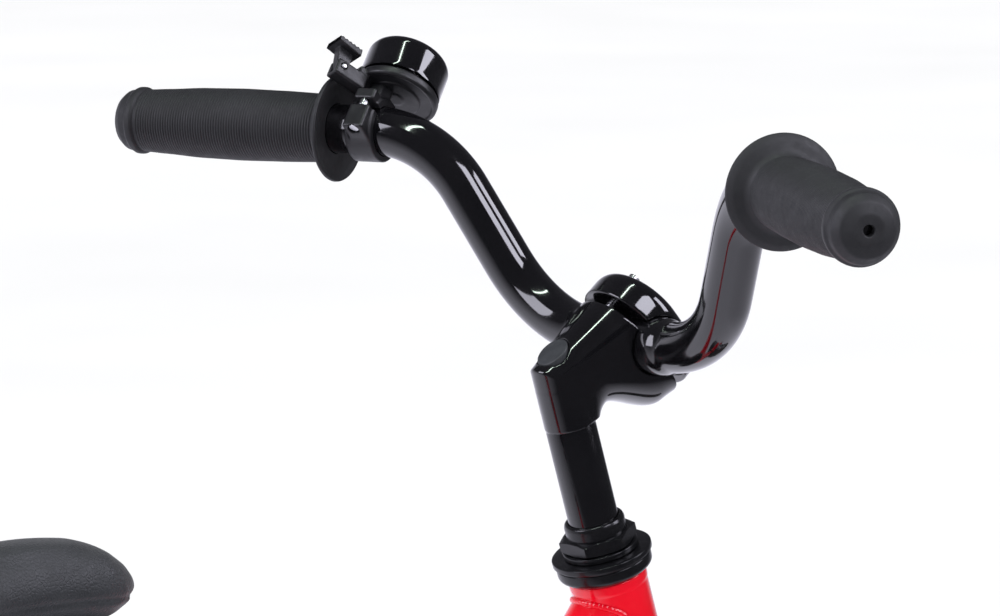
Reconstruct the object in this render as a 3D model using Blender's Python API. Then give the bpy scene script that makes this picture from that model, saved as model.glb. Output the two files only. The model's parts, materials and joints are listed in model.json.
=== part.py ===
"""Child's balance bike: steel frame and fork, quill stem, rise handlebar with bell, spoked wheels, padded saddle.

Metres. +X is forwards, +Y is the rider's left, +Z is up. The origin is on the floor, midway between the tyre ends.
"""

import math

import bpy
from mathutils import Matrix, Vector
from mathutils.geometry import convex_hull_2d

# Layout of the whole bike
TYRE_RADIUS = 0.150
REAR_AXLE_BACK = 0.475      # rear axle behind the top of the headset
HEADSET_HEIGHT = 0.415
HEAD_TILT = math.radians(17.0)
FORK_RAKE = 0.028
GAP = 0.0003                # clearance between two pieces that touch

# Wheels
TYRE_SECTION = 0.0235
TYRE_SEAT = 0.1018
RIM_HALF_WIDTH = 0.015
RIM_EDGE = 0.1075
RIM_BED = 0.0935
HUB_BARREL = 0.012
HUB_BORE = 0.0053
HUB_HALF_LENGTH = 0.0368
FLANGE_OFFSET = 0.026
FLANGE_RADIUS = 0.022
SPOKE_RADIUS = 0.001
SPOKES_PER_SIDE = 8
WHEEL_SIDES = 32
AXLE_RADIUS = 0.005
AXLE_HALF_LENGTH = 0.056
NUT_ACROSS_FLATS = 0.015
DROPOUT_INNER = 0.0375
DROPOUT_OUTER = 0.0415

# Head tube, headset and steerer, measured along the steering axis from the top of the upper cup
HEAD_TUBE_RADIUS = 0.0172
HEAD_TUBE_BORE = 0.0146
HEAD_TUBE_TOP = -0.0073
HEAD_TUBE_BOTTOM = -0.0927
CUP_RADIUS = 0.0212
CUP_NECK = 0.0182
CUP_BORE = 0.0131
STEERER_RADIUS = 0.0127
STEERER_BORE = 0.0114
COVER_RADIUS = 0.0223
LOCKNUT_ACROSS_FLATS = 0.0310
LOCKNUT_COLLAR = 0.0135
CROWN_TOP = -0.1046
CROWN_BOTTOM = -0.1270

# Fork blades
BLADE_SPACING = 0.0400
BLADE_RADIUS = 0.0105
BLADE_TIP_RADIUS = 0.0080

# Frame tubes
MAIN_TUBE_RADIUS = 0.0159
MAIN_TUBE_START = -0.0214   # where the main tube meets the steering axis
MAIN_TUBE_KNEE = (-0.0462, -0.0591)
MAIN_TUBE_END = -0.106
MAIN_TUBE_BEND = 0.12
SEAT_TUBE_RADIUS = 0.0143
SEAT_TUBE_BORE = 0.0130
SEAT_TUBE_LENGTH = 0.145
SEAT_TUBE_TOP = (-0.3445, 0.335)
STAY_RADIUS = 0.0070
SEAT_LEVER_BARREL = 0.0060
SEAT_LEVER_PIVOT = (-0.0235, 0.0142, -0.0066)

# Seat post and saddle
POST_RADIUS = 0.0127
POST_INSIDE = -0.090
SADDLE_LENGTH = 0.222
SADDLE_WIDTH = 0.140
SADDLE_NOSE_WIDTH = 0.050
SADDLE_TOP_HEIGHT = 0.4595
SADDLE_NOSE_BACK = 0.2455   # saddle nose behind the top of the headset
PAD_THICKNESS = 0.034
SHELL_THICKNESS = 0.007
RAIL_RADIUS = 0.0035
RAIL_SPREAD = 0.022

# Stem
QUILL_RADIUS = 0.0111
QUILL_HEAD_RADIUS = 0.0113
QUILL_BOTTOM = -0.050
QUILL_SEAM = 0.0655
WEDGE_BOTTOM = -0.074
WEDGE_SLANT = math.radians(35.0)
BOLT_RADIUS = 0.0040
BOLT_BORE = 0.0046
CLAMP_AHEAD = 0.04106
CLAMP_HEIGHT = 0.08672
CLAMP_GAP = 0.0045
CLAMP_TILT = math.radians(23.0)
ARM_HALF_WIDTH = 0.0215
ARM_TOP = 0.0268            # from the bar's centre line, square to the tilted arm
ARM_BOTTOM = -0.0295
ARM_REAR_BOTTOM = -0.0090
ARM_REAR = -0.0500
ARM_TOP_AT_AXIS = 0.0985    # height of the arm's top on the steering axis
CAP_THICKNESS = 0.0180
CAP_SCREW_OFFSET = 0.0183
PLUG_RADIUS = 0.0072

# Handlebar, in the stem's own directions
BAR_RADIUS = 0.0111
BAR_CENTRE_RADIUS = 0.0127
BAR_CENTRE_HALF = 0.0250
BAR_KNEE = Vector((CLAMP_AHEAD, 0.05778, CLAMP_HEIGHT))
BAR_ELBOW = Vector((0.04114, 0.10755, 0.17398))
BAR_END = Vector((-0.02382, 0.25218, 0.19198))
BAR_KNEE_BEND = 0.0569
BAR_ELBOW_BEND = 0.0550
BAR_SIDES = 16

# Grips, measured from the handlebar's elbow towards its end
GRIP_DISC_AT = 0.0500
GRIP_DISC_RADIUS = 0.0240
GRIP_END_AT = 0.1612
GRIP_BARREL = (
    (0.0, 0.0156), (0.22, 0.0162), (0.45, 0.0165), (0.68, 0.0161), (0.88, 0.0150), (1.0, 0.0144),
)

# Bell
BELL_AT = 0.0275
BELL_AXIS = Vector((0.807, 0.301, 0.508))
BELL_CENTRE = (-0.0018, -0.0005, 0.0)
BELL_BASE_HEIGHT = 0.0185
BELL_BASE_RADIUS = 0.0198
BELL_BASE_THICKNESS = 0.0045
DOME_RADIUS = 0.0192
DOME_HEIGHT = 0.0200
DOME_WALL = 0.0016
LEVER_DIRECTION = math.radians(55.0)
LEVER_PIVOT_RADIUS = 0.0299
LEVER_PIVOT_HEIGHT = 0.0155
PIN_RADIUS = 0.0013

# Colours (linear RGB) with roughness and metallic
BLACK_PAINT = ((0.010, 0.010, 0.013), 0.18, 0.0)
SATIN_BLACK = ((0.016, 0.016, 0.019), 0.38, 0.3)
RED_PAINT = ((0.80, 0.004, 0.012), 0.20, 0.0)
GRIP_RUBBER = ((0.030, 0.031, 0.038), 0.62, 0.0)
TYRE_RUBBER = ((0.020, 0.020, 0.022), 0.75, 0.0)
BLACK_PLASTIC = ((0.022, 0.022, 0.026), 0.45, 0.0)
PLUG_PLASTIC = ((0.060, 0.064, 0.075), 0.55, 0.0)
SADDLE_VINYL = ((0.045, 0.048, 0.056), 0.58, 0.0)
BRIGHT_STEEL = ((0.62, 0.62, 0.63), 0.28, 1.0)
ALUMINIUM = ((0.55, 0.56, 0.58), 0.35, 1.0)

MAIN = "balance_bike"
HELPERS = "cutters"


# ---------------------------------------------------------------- scene and placement

def clear_scene():
    for obj in list(bpy.data.objects):
        bpy.data.objects.remove(obj, do_unlink=True)
    for collection in list(bpy.data.collections):
        bpy.data.collections.remove(collection)
    for name in (MAIN, HELPERS):
        bpy.context.scene.collection.children.link(bpy.data.collections.new(name))


def axes_frame(origin, x_axis, z_axis):
    """A placement whose +Z is z_axis and whose +X is as near x_axis as it can be."""
    up = Vector(z_axis).normalized()
    side = up.cross(Vector(x_axis)).normalized()
    ahead = side.cross(up)
    matrix = Matrix((ahead, side, up)).transposed().to_4x4()
    matrix.translation = Vector(origin)
    return matrix


AXIS_UP = Vector((-math.sin(HEAD_TILT), 0.0, math.cos(HEAD_TILT)))
AXIS_AHEAD = Vector((math.cos(HEAD_TILT), 0.0, math.sin(HEAD_TILT)))
AXLE_DROP = (HEADSET_HEIGHT + FORK_RAKE * math.sin(HEAD_TILT) - TYRE_RADIUS) / math.cos(HEAD_TILT)
FRONT_AXLE_AHEAD = FORK_RAKE * math.cos(HEAD_TILT) + AXLE_DROP * math.sin(HEAD_TILT)
HEADSET_X = 0.5 * (REAR_AXLE_BACK - FRONT_AXLE_AHEAD)
HEADSET = Vector((HEADSET_X, 0.0, HEADSET_HEIGHT))
FRONT_AXLE = Vector((HEADSET_X + FRONT_AXLE_AHEAD, 0.0, TYRE_RADIUS))
REAR_AXLE = Vector((HEADSET_X - REAR_AXLE_BACK, 0.0, TYRE_RADIUS))
SEAT_TOP = Vector((HEADSET_X + SEAT_TUBE_TOP[0], 0.0, SEAT_TUBE_TOP[1]))

WORLD = Matrix.Identity(4)
STEER = axes_frame(HEADSET, AXIS_AHEAD, AXIS_UP)
SEAT = axes_frame(SEAT_TOP, AXIS_AHEAD, AXIS_UP)
FRONT_WHEEL = axes_frame(FRONT_AXLE, (1.0, 0.0, 0.0), (0.0, 1.0, 0.0))
REAR_WHEEL = axes_frame(REAR_AXLE, (1.0, 0.0, 0.0), (0.0, 1.0, 0.0))
CLAMP = STEER @ Matrix.Translation((CLAMP_AHEAD, 0.0, CLAMP_HEIGHT))
ARM = CLAMP @ Matrix.Rotation(-CLAMP_TILT, 4, "Y")


def finish_for(name, look):
    colour, roughness, metallic = look
    material = bpy.data.materials.new(name)
    material.use_nodes = True
    shader = material.node_tree.nodes["Principled BSDF"]
    shader.inputs["Base Color"].default_value = (*colour, 1.0)
    shader.inputs["Roughness"].default_value = roughness
    shader.inputs["Metallic"].default_value = metallic
    return material


def solid(name, shape, frame, look=None):
    """Make one closed object from (points, faces); a helper, with no look, goes with the cutters."""
    points, faces = shape
    mesh = bpy.data.meshes.new(name)
    mesh.from_pydata([tuple(point) for point in points], [], faces)
    mesh.validate()
    obj = bpy.data.objects.new(name, mesh)
    obj.matrix_world = frame
    if look is None:
        bpy.data.collections[HELPERS].objects.link(obj)
        obj.hide_render = True
        obj.display_type = "WIRE"
        return obj
    bpy.data.collections[MAIN].objects.link(obj)
    mesh.materials.append(finish_for(name, look))
    mesh.shade_smooth()
    mesh.set_sharp_from_angle(angle=math.radians(38.0))
    return obj


def combine(target, operation, tool):
    modifier = target.modifiers.new(tool.name, "BOOLEAN")
    modifier.operation = operation
    modifier.object = tool
    modifier.solver = "EXACT"
    return target


# ---------------------------------------------------------------- shapes as (points, faces)

def skin(rings, closed=False):
    """Join rings of points into one outward-facing shell; a ring of one point is a tip."""
    points = []
    spans = []
    for ring in rings:
        spans.append(range(len(points), len(points) + len(ring)))
        points.extend(Vector(point) for point in ring)
    faces = []
    pairs = list(zip(spans, spans[1:]))
    if closed:
        pairs.append((spans[-1], spans[0]))
    for low, high in pairs:
        faces.extend(bridge(list(low), list(high)))
    if not closed:
        faces.extend(end_caps(spans))
    return points, outward(points, faces)


def bridge(low, high):
    count = max(len(low), len(high))
    if len(low) == 1 and len(high) == 1:
        return []
    if len(low) == 1:
        return [(low[0], high[(step + 1) % count], high[step]) for step in range(count)]
    if len(high) == 1:
        return [(low[step], low[(step + 1) % count], high[0]) for step in range(count)]
    faces = []
    for step in range(count):
        after = (step + 1) % count
        faces.append((low[step], low[after], high[after], high[step]))
    return faces


def end_caps(spans):
    caps = []
    if len(spans[0]) > 1:
        caps.append(tuple(reversed(spans[0])))
    if len(spans[-1]) > 1:
        caps.append(tuple(spans[-1]))
    return caps


def outward(points, faces):
    """Turn every face round if the shell's signed volume is negative."""
    volume = 0.0
    for face in faces:
        first = points[face[0]]
        for second, third in zip(face[1:], face[2:]):
            volume += first.dot(points[second].cross(points[third]))
    if volume >= 0.0:
        return faces
    return [tuple(reversed(face)) for face in faces]


def circle(radius, height, sides, phase=0.0):
    if radius == 0.0:
        return [Vector((0.0, 0.0, height))]
    ring = []
    for step in range(sides):
        angle = phase + 2.0 * math.pi * step / sides
        ring.append(Vector((radius * math.cos(angle), radius * math.sin(angle), height)))
    return ring


def lathe(outline, sides, closed=False, phase=0.0):
    """Revolve (radius, height) points round +Z; a closed outline makes a ring with a bore."""
    return skin([circle(radius, height, sides, phase) for radius, height in outline], closed)


def rod(radius, low, high, sides=12, phase=0.0):
    return lathe([(radius, low), (radius, high)], sides, phase=phase)


def sleeve(bore, radius, low, high, sides=20):
    return lathe([(bore, low), (radius, low), (radius, high), (bore, high)], sides, closed=True)


def hexagon(across_flats, low, high):
    return rod(across_flats / math.sqrt(3.0), low, high, sides=6)


def prism(outline, low, high):
    """Extrude a flat (x, y) outline along Z."""
    return skin([[Vector((x, y, height)) for x, y in outline] for height in (low, high)])


def block(low, high):
    outline = [(low[0], low[1]), (high[0], low[1]), (high[0], high[1]), (low[0], high[1])]
    return prism(outline, low[2], high[2])


def slot_outline(radius, length, sides=8):
    """A round hole that runs out to an open end along +X."""
    outline = []
    for step in range(sides + 1):
        angle = math.pi / 2.0 + math.pi * step / sides
        outline.append((radius * math.cos(angle), radius * math.sin(angle)))
    return outline + [(length, -radius), (length, radius)]


def rounded_path(corners, bends, steps=7):
    """A polyline with each inner corner replaced by an arc of the given radius."""
    path = [Vector(corners[0])]
    for before, corner, after, bend in zip(corners, corners[1:], corners[2:], bends):
        path.extend(corner_arc(Vector(before), Vector(corner), Vector(after), bend, steps))
    path.append(Vector(corners[-1]))
    return path


def corner_arc(before, corner, after, bend, steps):
    towards = (before - corner).normalized()
    away = (after - corner).normalized()
    half = 0.5 * towards.angle(away)
    reach = bend / math.tan(half)
    centre = corner + (towards + away).normalized() * (bend / math.sin(half))
    start = corner + towards * reach - centre
    finish = corner + away * reach - centre
    sweep = start.angle(finish)
    arc = []
    for step in range(steps + 1):
        share = step / steps
        mixed = start * math.sin((1.0 - share) * sweep) + finish * math.sin(share * sweep)
        arc.append(centre + mixed / math.sin(sweep))
    return arc


def tube(path, radii, sides):
    """Sweep a circle along a path without twist; radii is one value or one for each point."""
    if not isinstance(radii, (list, tuple)):
        radii = [radii] * len(path)
    tangents = path_tangents(path)
    across = tangents[0].orthogonal().normalized()
    rings = []
    for index, point in enumerate(path):
        tangent = tangents[index]
        across = (across - tangent * across.dot(tangent)).normalized()
        third = tangent.cross(across)
        ring = []
        for step in range(sides):
            angle = 2.0 * math.pi * step / sides
            ring.append(point + (across * math.cos(angle) + third * math.sin(angle)) * radii[index])
        rings.append(ring)
    return skin(rings)


def path_tangents(path):
    tangents = []
    for index in range(len(path)):
        before = path[max(index - 1, 0)]
        after = path[min(index + 1, len(path) - 1)]
        tangents.append((after - before).normalized())
    return tangents


def mirrored(point, side):
    return Vector((point[0], point[1] * side, point[2]))


def smooth_step(value):
    value = min(max(value, 0.0), 1.0)
    return value * value * (3.0 - 2.0 * value)


def oval_ring(ahead, half_width, low, high, squareness, count):
    """A rounded-rectangle section across +X, between two heights."""
    middle = 0.5 * (low + high)
    half_height = 0.5 * (high - low)
    ring = []
    for step in range(count):
        angle = 2.0 * math.pi * step / count
        wide = math.copysign(abs(math.cos(angle)) ** squareness, math.cos(angle))
        tall = math.copysign(abs(math.sin(angle)) ** squareness, math.sin(angle))
        ring.append(Vector((ahead, half_width * wide, middle + half_height * tall)))
    return ring


# ---------------------------------------------------------------- wheels

def tyre_outline():
    """Section of the tyre: a round tread above two beads that sit in the rim."""
    centre = TYRE_RADIUS - TYRE_SECTION
    inside = RIM_HALF_WIDTH - 0.0028
    outline = [(TYRE_SEAT, -inside), (RIM_EDGE, -inside)]
    for degrees in range(-50, 231, 35):
        angle = math.radians(degrees)
        outline.append((centre + TYRE_SECTION * math.sin(angle), -TYRE_SECTION * math.cos(angle)))
    return outline + [(RIM_EDGE, inside), (TYRE_SEAT, inside)]


def rim_outline():
    """Section of the rim: a channel for the tyre over a narrower spoke bed."""
    half = [
        (RIM_EDGE, RIM_HALF_WIDTH),
        (RIM_EDGE, RIM_HALF_WIDTH - 0.0024),
        (TYRE_SEAT - GAP, RIM_HALF_WIDTH - 0.0024),
        (TYRE_SEAT - 0.0030, RIM_HALF_WIDTH * 0.45),
    ]
    lower = [(RIM_BED, RIM_HALF_WIDTH * 0.40), (RIM_BED + 0.0040, RIM_HALF_WIDTH * 0.95)]
    inner = half[::-1]
    left = [(radius, offset) for radius, offset in inner]
    right = [(radius, -offset) for radius, offset in half]
    bed = [(radius, -offset) for radius, offset in lower[::-1]]
    return left[::-1] + right[::-1] + bed + lower


def spoke_side(prefix, frame, side):
    """Eight spokes and the hub flange that holds them."""
    name = f"{prefix}_spokes_{'left' if side > 0 else 'right'}"
    low = side * FLANGE_OFFSET - 0.0015
    flange = solid(name, sleeve(HUB_BARREL + 2.0 * GAP, FLANGE_RADIUS, low, low + 0.0030, 12), frame, ALUMINIUM)
    for index in range(SPOKES_PER_SIDE):
        turn = 2.0 * math.pi * (index + 0.25 * (1 + side)) / SPOKES_PER_SIDE
        across = Vector((math.cos(turn), math.sin(turn), 0.0))
        inner = across * (FLANGE_RADIUS - 0.004) + Vector((0.0, 0.0, side * FLANGE_OFFSET))
        outer = across * (RIM_BED - GAP) + Vector((0.0, 0.0, side * 0.003))
        spoke = solid(f"{name}_{index}", tube([inner, outer], SPOKE_RADIUS, 5), frame)
        combine(flange, "UNION", spoke)


def wheel(prefix, frame):
    solid(f"{prefix}_tyre", lathe(tyre_outline(), WHEEL_SIDES, closed=True), frame, TYRE_RUBBER)
    solid(f"{prefix}_rim", lathe(rim_outline(), WHEEL_SIDES, closed=True), frame, ALUMINIUM)
    barrel = [(HUB_BORE, -HUB_HALF_LENGTH), (0.0090, -HUB_HALF_LENGTH), (HUB_BARREL, -0.0300), (HUB_BARREL, 0.0300)]
    barrel += [(0.0090, HUB_HALF_LENGTH), (HUB_BORE, HUB_HALF_LENGTH)]
    solid(f"{prefix}_hub", lathe(barrel, 16, closed=True), frame, ALUMINIUM)
    for side in (1, -1):
        spoke_side(prefix, frame, side)
    valve_frame = frame @ axes_frame((0.0, 0.0, 0.0), (0.0, 0.0, 1.0), valve_direction())
    top = RIM_BED - GAP
    valve = [(0.0, top - 0.026), (0.0036, top - 0.026), (0.0036, top - 0.015), (0.0026, top - 0.015), (0.0026, top)]
    solid(f"{prefix}_valve", lathe(valve + [(0.0, top)], 10), valve_frame, BLACK_PLASTIC)


def valve_direction():
    """Half way between two spokes of the two sides."""
    turn = 2.0 * math.pi * 1.25 / SPOKES_PER_SIDE
    return (math.cos(turn), math.sin(turn), 0.0)


def axle_set(prefix, frame):
    solid(f"{prefix}_axle", rod(AXLE_RADIUS, -AXLE_HALF_LENGTH, AXLE_HALF_LENGTH), frame, BRIGHT_STEEL)
    washer_top = DROPOUT_OUTER + GAP + 0.0015
    nut_top = DROPOUT_OUTER + GAP + 0.0095
    for side, word in ((1, "left"), (-1, "right")):
        nut = solid(f"{prefix}_nut_{word}", sided(hexagon(NUT_ACROSS_FLATS, washer_top - 0.0004, nut_top), side),
                    frame, BRIGHT_STEEL)
        washer = solid(f"{prefix}_washer_{word}", sided(rod(0.0100, DROPOUT_OUTER + GAP, washer_top, 16), side), frame)
        bore = solid(f"{prefix}_nut_bore_{word}", sided(rod(AXLE_RADIUS + GAP, 0.030, 0.060), side), frame)
        combine(nut, "UNION", washer)
        combine(nut, "DIFFERENCE", bore)


def sided(shape, side):
    """The shape as it is, or turned over to the other end of its axis."""
    if side > 0:
        return shape
    points, faces = shape
    return [Vector((point.x, -point.y, -point.z)) for point in points], faces


# ---------------------------------------------------------------- frame

def head_tube_set():
    shell = sleeve(HEAD_TUBE_BORE, HEAD_TUBE_RADIUS, HEAD_TUBE_BOTTOM, HEAD_TUBE_TOP, 28)
    solid("head_tube", shell, STEER, RED_PAINT)
    skirt = HEAD_TUBE_BORE - GAP
    top = HEAD_TUBE_TOP + GAP
    upper = [(CUP_BORE, top - 0.010), (skirt, top - 0.010), (skirt, top), (CUP_NECK, top)]
    upper += [(CUP_RADIUS - 0.0006, -0.0052), (CUP_RADIUS, -0.0040), (CUP_RADIUS, 0.0), (CUP_BORE, 0.0)]
    solid("headset_upper_cup", lathe(upper, 20, closed=True), STEER, SATIN_BLACK)
    base = HEAD_TUBE_BOTTOM - GAP
    lower = [(CUP_BORE, base + 0.010), (skirt, base + 0.010), (skirt, base), (CUP_NECK, base)]
    lower += [(CUP_RADIUS, base - 0.004), (CUP_RADIUS, base - 0.007), (CUP_BORE, base - 0.007)]
    solid("headset_lower_cup", lathe(lower, 20, closed=True), STEER, SATIN_BLACK)


def main_tube():
    """Drops steeply from the head tube, then bends back to the seat tube."""
    start = STEER @ Vector((0.0, 0.0, MAIN_TUBE_START))
    knee = start + Vector((MAIN_TUBE_KNEE[0], 0.0, MAIN_TUBE_KNEE[1]))
    finish = SEAT @ Vector((0.0, 0.0, MAIN_TUBE_END))
    path = rounded_path([start, knee, finish], [MAIN_TUBE_BEND], 6)
    pipe = solid("main_tube", tube(path, MAIN_TUBE_RADIUS, 20), WORLD, RED_PAINT)
    head_side = rod(HEAD_TUBE_RADIUS + GAP, -0.12, 0.02, 28)
    seat_side = rod(SEAT_TUBE_RADIUS + GAP, -0.17, 0.02, 24)
    combine(pipe, "DIFFERENCE", solid("main_head_cut", head_side, STEER))
    combine(pipe, "DIFFERENCE", solid("main_head_trim", block((0.0, -0.03, -0.12), (0.05, 0.03, 0.02)), STEER))
    combine(pipe, "DIFFERENCE", solid("main_seat_cut", seat_side, SEAT))
    combine(pipe, "DIFFERENCE", solid("main_seat_trim", block((-0.05, -0.03, -0.17), (0.0, 0.03, 0.02)), SEAT))


def seat_tube():
    solid("seat_tube", sleeve(SEAT_TUBE_BORE, SEAT_TUBE_RADIUS, -SEAT_TUBE_LENGTH, 0.0, 24), SEAT, RED_PAINT)


def stay(name, side, start, knee, finish, bend):
    """One bent tube from the seat tube back to a dropout, trimmed to the seat tube."""
    corners = [mirrored(point, side) for point in (start, knee, finish)]
    pipe = solid(name, tube(rounded_path(corners, [bend], 5), STAY_RADIUS, 12), WORLD, RED_PAINT)
    cut = solid(f"{name}_cut", rod(SEAT_TUBE_RADIUS + GAP, -0.17, 0.02, 24), SEAT)
    return combine(pipe, "DIFFERENCE", cut)


def rear_triangle():
    middle = 0.5 * (DROPOUT_INNER + DROPOUT_OUTER)
    upper = SEAT @ Vector((0.0, 0.0, -0.030))
    lower = SEAT @ Vector((0.0, 0.0, -0.130))
    seat_end = Vector((0.0185, 0.0, 0.0270))
    chain_end = Vector((0.0260, 0.0, 0.0070))
    for side, word in ((1, "left"), (-1, "right")):
        stay(f"seat_stay_{word}", side,
             upper + Vector((-0.004, 0.0085, 0.0)),
             upper + Vector((-0.034, middle - 0.0005, -0.048)),
             REAR_AXLE + seat_end + Vector((0.0, middle, 0.0)), 0.05)
        chain_stay = stay(f"chain_stay_{word}", side,
                          lower + Vector((-0.002, 0.0085, 0.0)),
                          lower + Vector((-0.036, middle - 0.0025, -0.010)),
                          REAR_AXLE + chain_end + Vector((0.0, middle, 0.0)), 0.04)
        combine(chain_stay, "UNION", dropout(word, side, seat_end, chain_end))
        slot = [(-x, y) for x, y in slot_outline(AXLE_RADIUS + GAP, 0.030)]
        combine(chain_stay, "DIFFERENCE", solid(f"dropout_slot_{word}", prism(slot, -0.06, 0.06), REAR_WHEEL))


def dropout(word, side, seat_end, chain_end):
    """A flat plate round the rear axle that reaches up to the seat stay."""
    corners = [(0.0140 * math.cos(turn), 0.0140 * math.sin(turn)) for turn in
               (math.radians(step * 30.0) for step in range(12))]
    for end in (seat_end, chain_end):
        towards = Vector((end.x, end.z)).normalized()
        tip = Vector((end.x, end.z)) - towards * 0.0016
        across = Vector((-towards.y, towards.x)) * 0.0065
        corners.extend([tuple(tip + across), tuple(tip - across)])
    outline = [(corners[index][0], -corners[index][1]) for index in reversed(convex_hull_2d(corners))]
    low, high = sorted((side * DROPOUT_INNER, side * DROPOUT_OUTER))
    return solid(f"dropout_{word}", prism(outline, low, high), REAR_WHEEL)


def seat_collar():
    """Split ring over the top of the seat tube, with a cam lever on its cross bolt."""
    collar = solid("seat_collar", sleeve(SEAT_TUBE_RADIUS + GAP, 0.0178, -0.0130, -GAP, 24), SEAT, BLACK_PAINT)
    combine(collar, "UNION", solid("collar_ears", block((-0.0290, -0.0075, -0.0125), (-0.0155, 0.0075, -0.0008)), SEAT))
    combine(collar, "DIFFERENCE", solid("collar_slit", block((-0.0350, -0.0010, -0.02), (-0.0100, 0.0010, 0.01)), SEAT))
    bolt_frame = SEAT @ axes_frame((-0.0235, 0.0, -0.0066), (1.0, 0.0, 0.0), (0.0, 1.0, 0.0))
    combine(collar, "DIFFERENCE", solid("collar_bolt_hole", rod(0.0029, -0.02, 0.02), bolt_frame))
    bolt = [(0.0, -0.0120), (0.0045, -0.0120), (0.0045, -0.0078), (0.0025, -0.0078), (0.0025, 0.0078), (0.0, 0.0078)]
    solid("seat_collar_bolt", lathe(bolt, 12), bolt_frame, BRIGHT_STEEL)


def seat_lever():
    """Cam barrel against the collar's left ear, with a curved handle that lies along the collar when shut."""
    place = SEAT @ Matrix.Translation(SEAT_LEVER_PIVOT)
    path = rounded_path([(0.0, 0.0, 0.0), (0.012, 0.0082, 0.0), (0.046, 0.0082, 0.0)], [0.018], 4)
    radii = [0.0034] * (len(path) - 2) + [0.0042, 0.0042]
    lever = solid("seat_lever", tube(path, radii, 10), place, BLACK_PAINT)
    combine(lever, "UNION", solid("seat_lever_barrel", rod(SEAT_LEVER_BARREL, -0.0055, 0.0055, 14), place))


# ---------------------------------------------------------------- fork and headset

def fork():
    solid("steerer_tube", sleeve(STEERER_BORE, STEERER_RADIUS, CROWN_TOP + 0.001, 0.0165, 24), STEER, SATIN_BLACK)
    crown()
    for side, word in ((1, "left"), (-1, "right")):
        blade(word, side)


def crown():
    outline = []
    for centre, start in ((BLADE_SPACING, 0.0), (-BLADE_SPACING, math.pi)):
        for step in range(9):
            angle = start + math.pi * step / 8
            outline.append((0.0150 * math.cos(angle), centre + 0.0135 * math.sin(angle)))
    body = solid("fork_crown", prism(outline, CROWN_BOTTOM, CROWN_TOP), STEER, RED_PAINT)
    race = [(0.0, CROWN_TOP - 0.005), (0.0185, CROWN_TOP - 0.005), (0.0185, CROWN_TOP + 0.0020)]
    race += [(0.0160, CROWN_TOP + 0.0041), (0.0, CROWN_TOP + 0.0041)]
    combine(body, "UNION", solid("crown_race", lathe(race, 24), STEER))
    socket = solid("crown_socket", rod(STEERER_RADIUS + GAP, CROWN_TOP + 0.0007, 0.0, 24), STEER)
    combine(body, "DIFFERENCE", socket)


def blade(word, side):
    """Round tube that curves forward to a flat tip with a slot for the axle."""
    top = Vector((0.0, BLADE_SPACING, CROWN_BOTTOM - GAP))
    knee = Vector((0.0, BLADE_SPACING, -0.205))
    tip = Vector((FORK_RAKE - 0.0045, 0.5 * (DROPOUT_INNER + DROPOUT_OUTER), -AXLE_DROP + 0.0170))
    path = rounded_path([mirrored(point, side) for point in (top, knee, tip)], [0.09], 6)
    radii = []
    for point in path:
        share = smooth_step((top.z - point.z) / (top.z - tip.z))
        radii.append(BLADE_RADIUS + (BLADE_TIP_RADIUS - BLADE_RADIUS) * share)
    leg = solid(f"fork_blade_{word}", tube(path, radii, 14), STEER, RED_PAINT)
    corners = [(0.0130 * math.cos(turn), 0.0130 * math.sin(turn)) for turn in
               (math.radians(step * 30.0) for step in range(12))]
    corners.extend([(-0.0125, 0.0240), (0.0035, 0.0240)])
    outline = [(corners[index][0], -corners[index][1]) for index in reversed(convex_hull_2d(corners))]
    tip_frame = STEER @ axes_frame((FORK_RAKE, 0.0, -AXLE_DROP), (1.0, 0.0, 0.0), (0.0, 1.0, 0.0))
    low, high = sorted((side * DROPOUT_INNER, side * DROPOUT_OUTER))
    combine(leg, "UNION", solid(f"fork_tip_{word}", prism(outline, low, high), tip_frame))
    slot = [(y, x) for x, y in slot_outline(AXLE_RADIUS + GAP, 0.030)]
    combine(leg, "DIFFERENCE", solid(f"fork_slot_{word}", prism(slot, -0.06, 0.06), tip_frame))


def headset_stack():
    bore = STEERER_RADIUS + GAP
    cover = [(bore, 0.0003), (0.0205, 0.0003), (0.0205, 0.0011), (COVER_RADIUS, 0.0011)]
    cover += [(COVER_RADIUS, 0.0036), (bore, 0.0036)]
    solid("headset_cover", lathe(cover, 24, closed=True), STEER, SATIN_BLACK)
    solid("headset_washer", sleeve(bore, 0.0168, 0.0039, 0.0064, 24), STEER, SATIN_BLACK)
    nut = solid("headset_locknut", hexagon(LOCKNUT_ACROSS_FLATS, 0.0067, 0.0127), STEER, SATIN_BLACK)
    collar = [(0.0, 0.0100), (LOCKNUT_COLLAR, 0.0100), (LOCKNUT_COLLAR, 0.0172), (0.0125, 0.0182), (0.0, 0.0182)]
    combine(nut, "UNION", solid("locknut_collar", lathe(collar, 28), STEER))
    hole = [(0.0, -0.010), (bore, -0.010), (bore, 0.0168), (STEERER_BORE + 0.0001, 0.0168)]
    hole += [(STEERER_BORE + 0.0001, 0.030), (0.0, 0.030)]
    combine(nut, "DIFFERENCE", solid("locknut_hole", lathe(hole, 24), STEER))


# ---------------------------------------------------------------- stem

def arm_section(along):
    """Half width, top, edge and bottom of the arm, at a distance along it from the bar's centre line."""
    share = (along - ARM_REAR) / -ARM_REAR
    half_width = QUILL_HEAD_RADIUS + (ARM_HALF_WIDTH - QUILL_HEAD_RADIUS) * max(0.0, share - 0.15) / 0.85
    edge = min(-0.0187 - 0.9 * along, ARM_TOP - half_width - 0.001)
    bottom = ARM_REAR_BOTTOM + (ARM_BOTTOM - ARM_REAR_BOTTOM) * smooth_step((along + 0.031) / 0.022)
    return half_width, ARM_TOP, edge, min(bottom, edge - 0.002)


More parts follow.
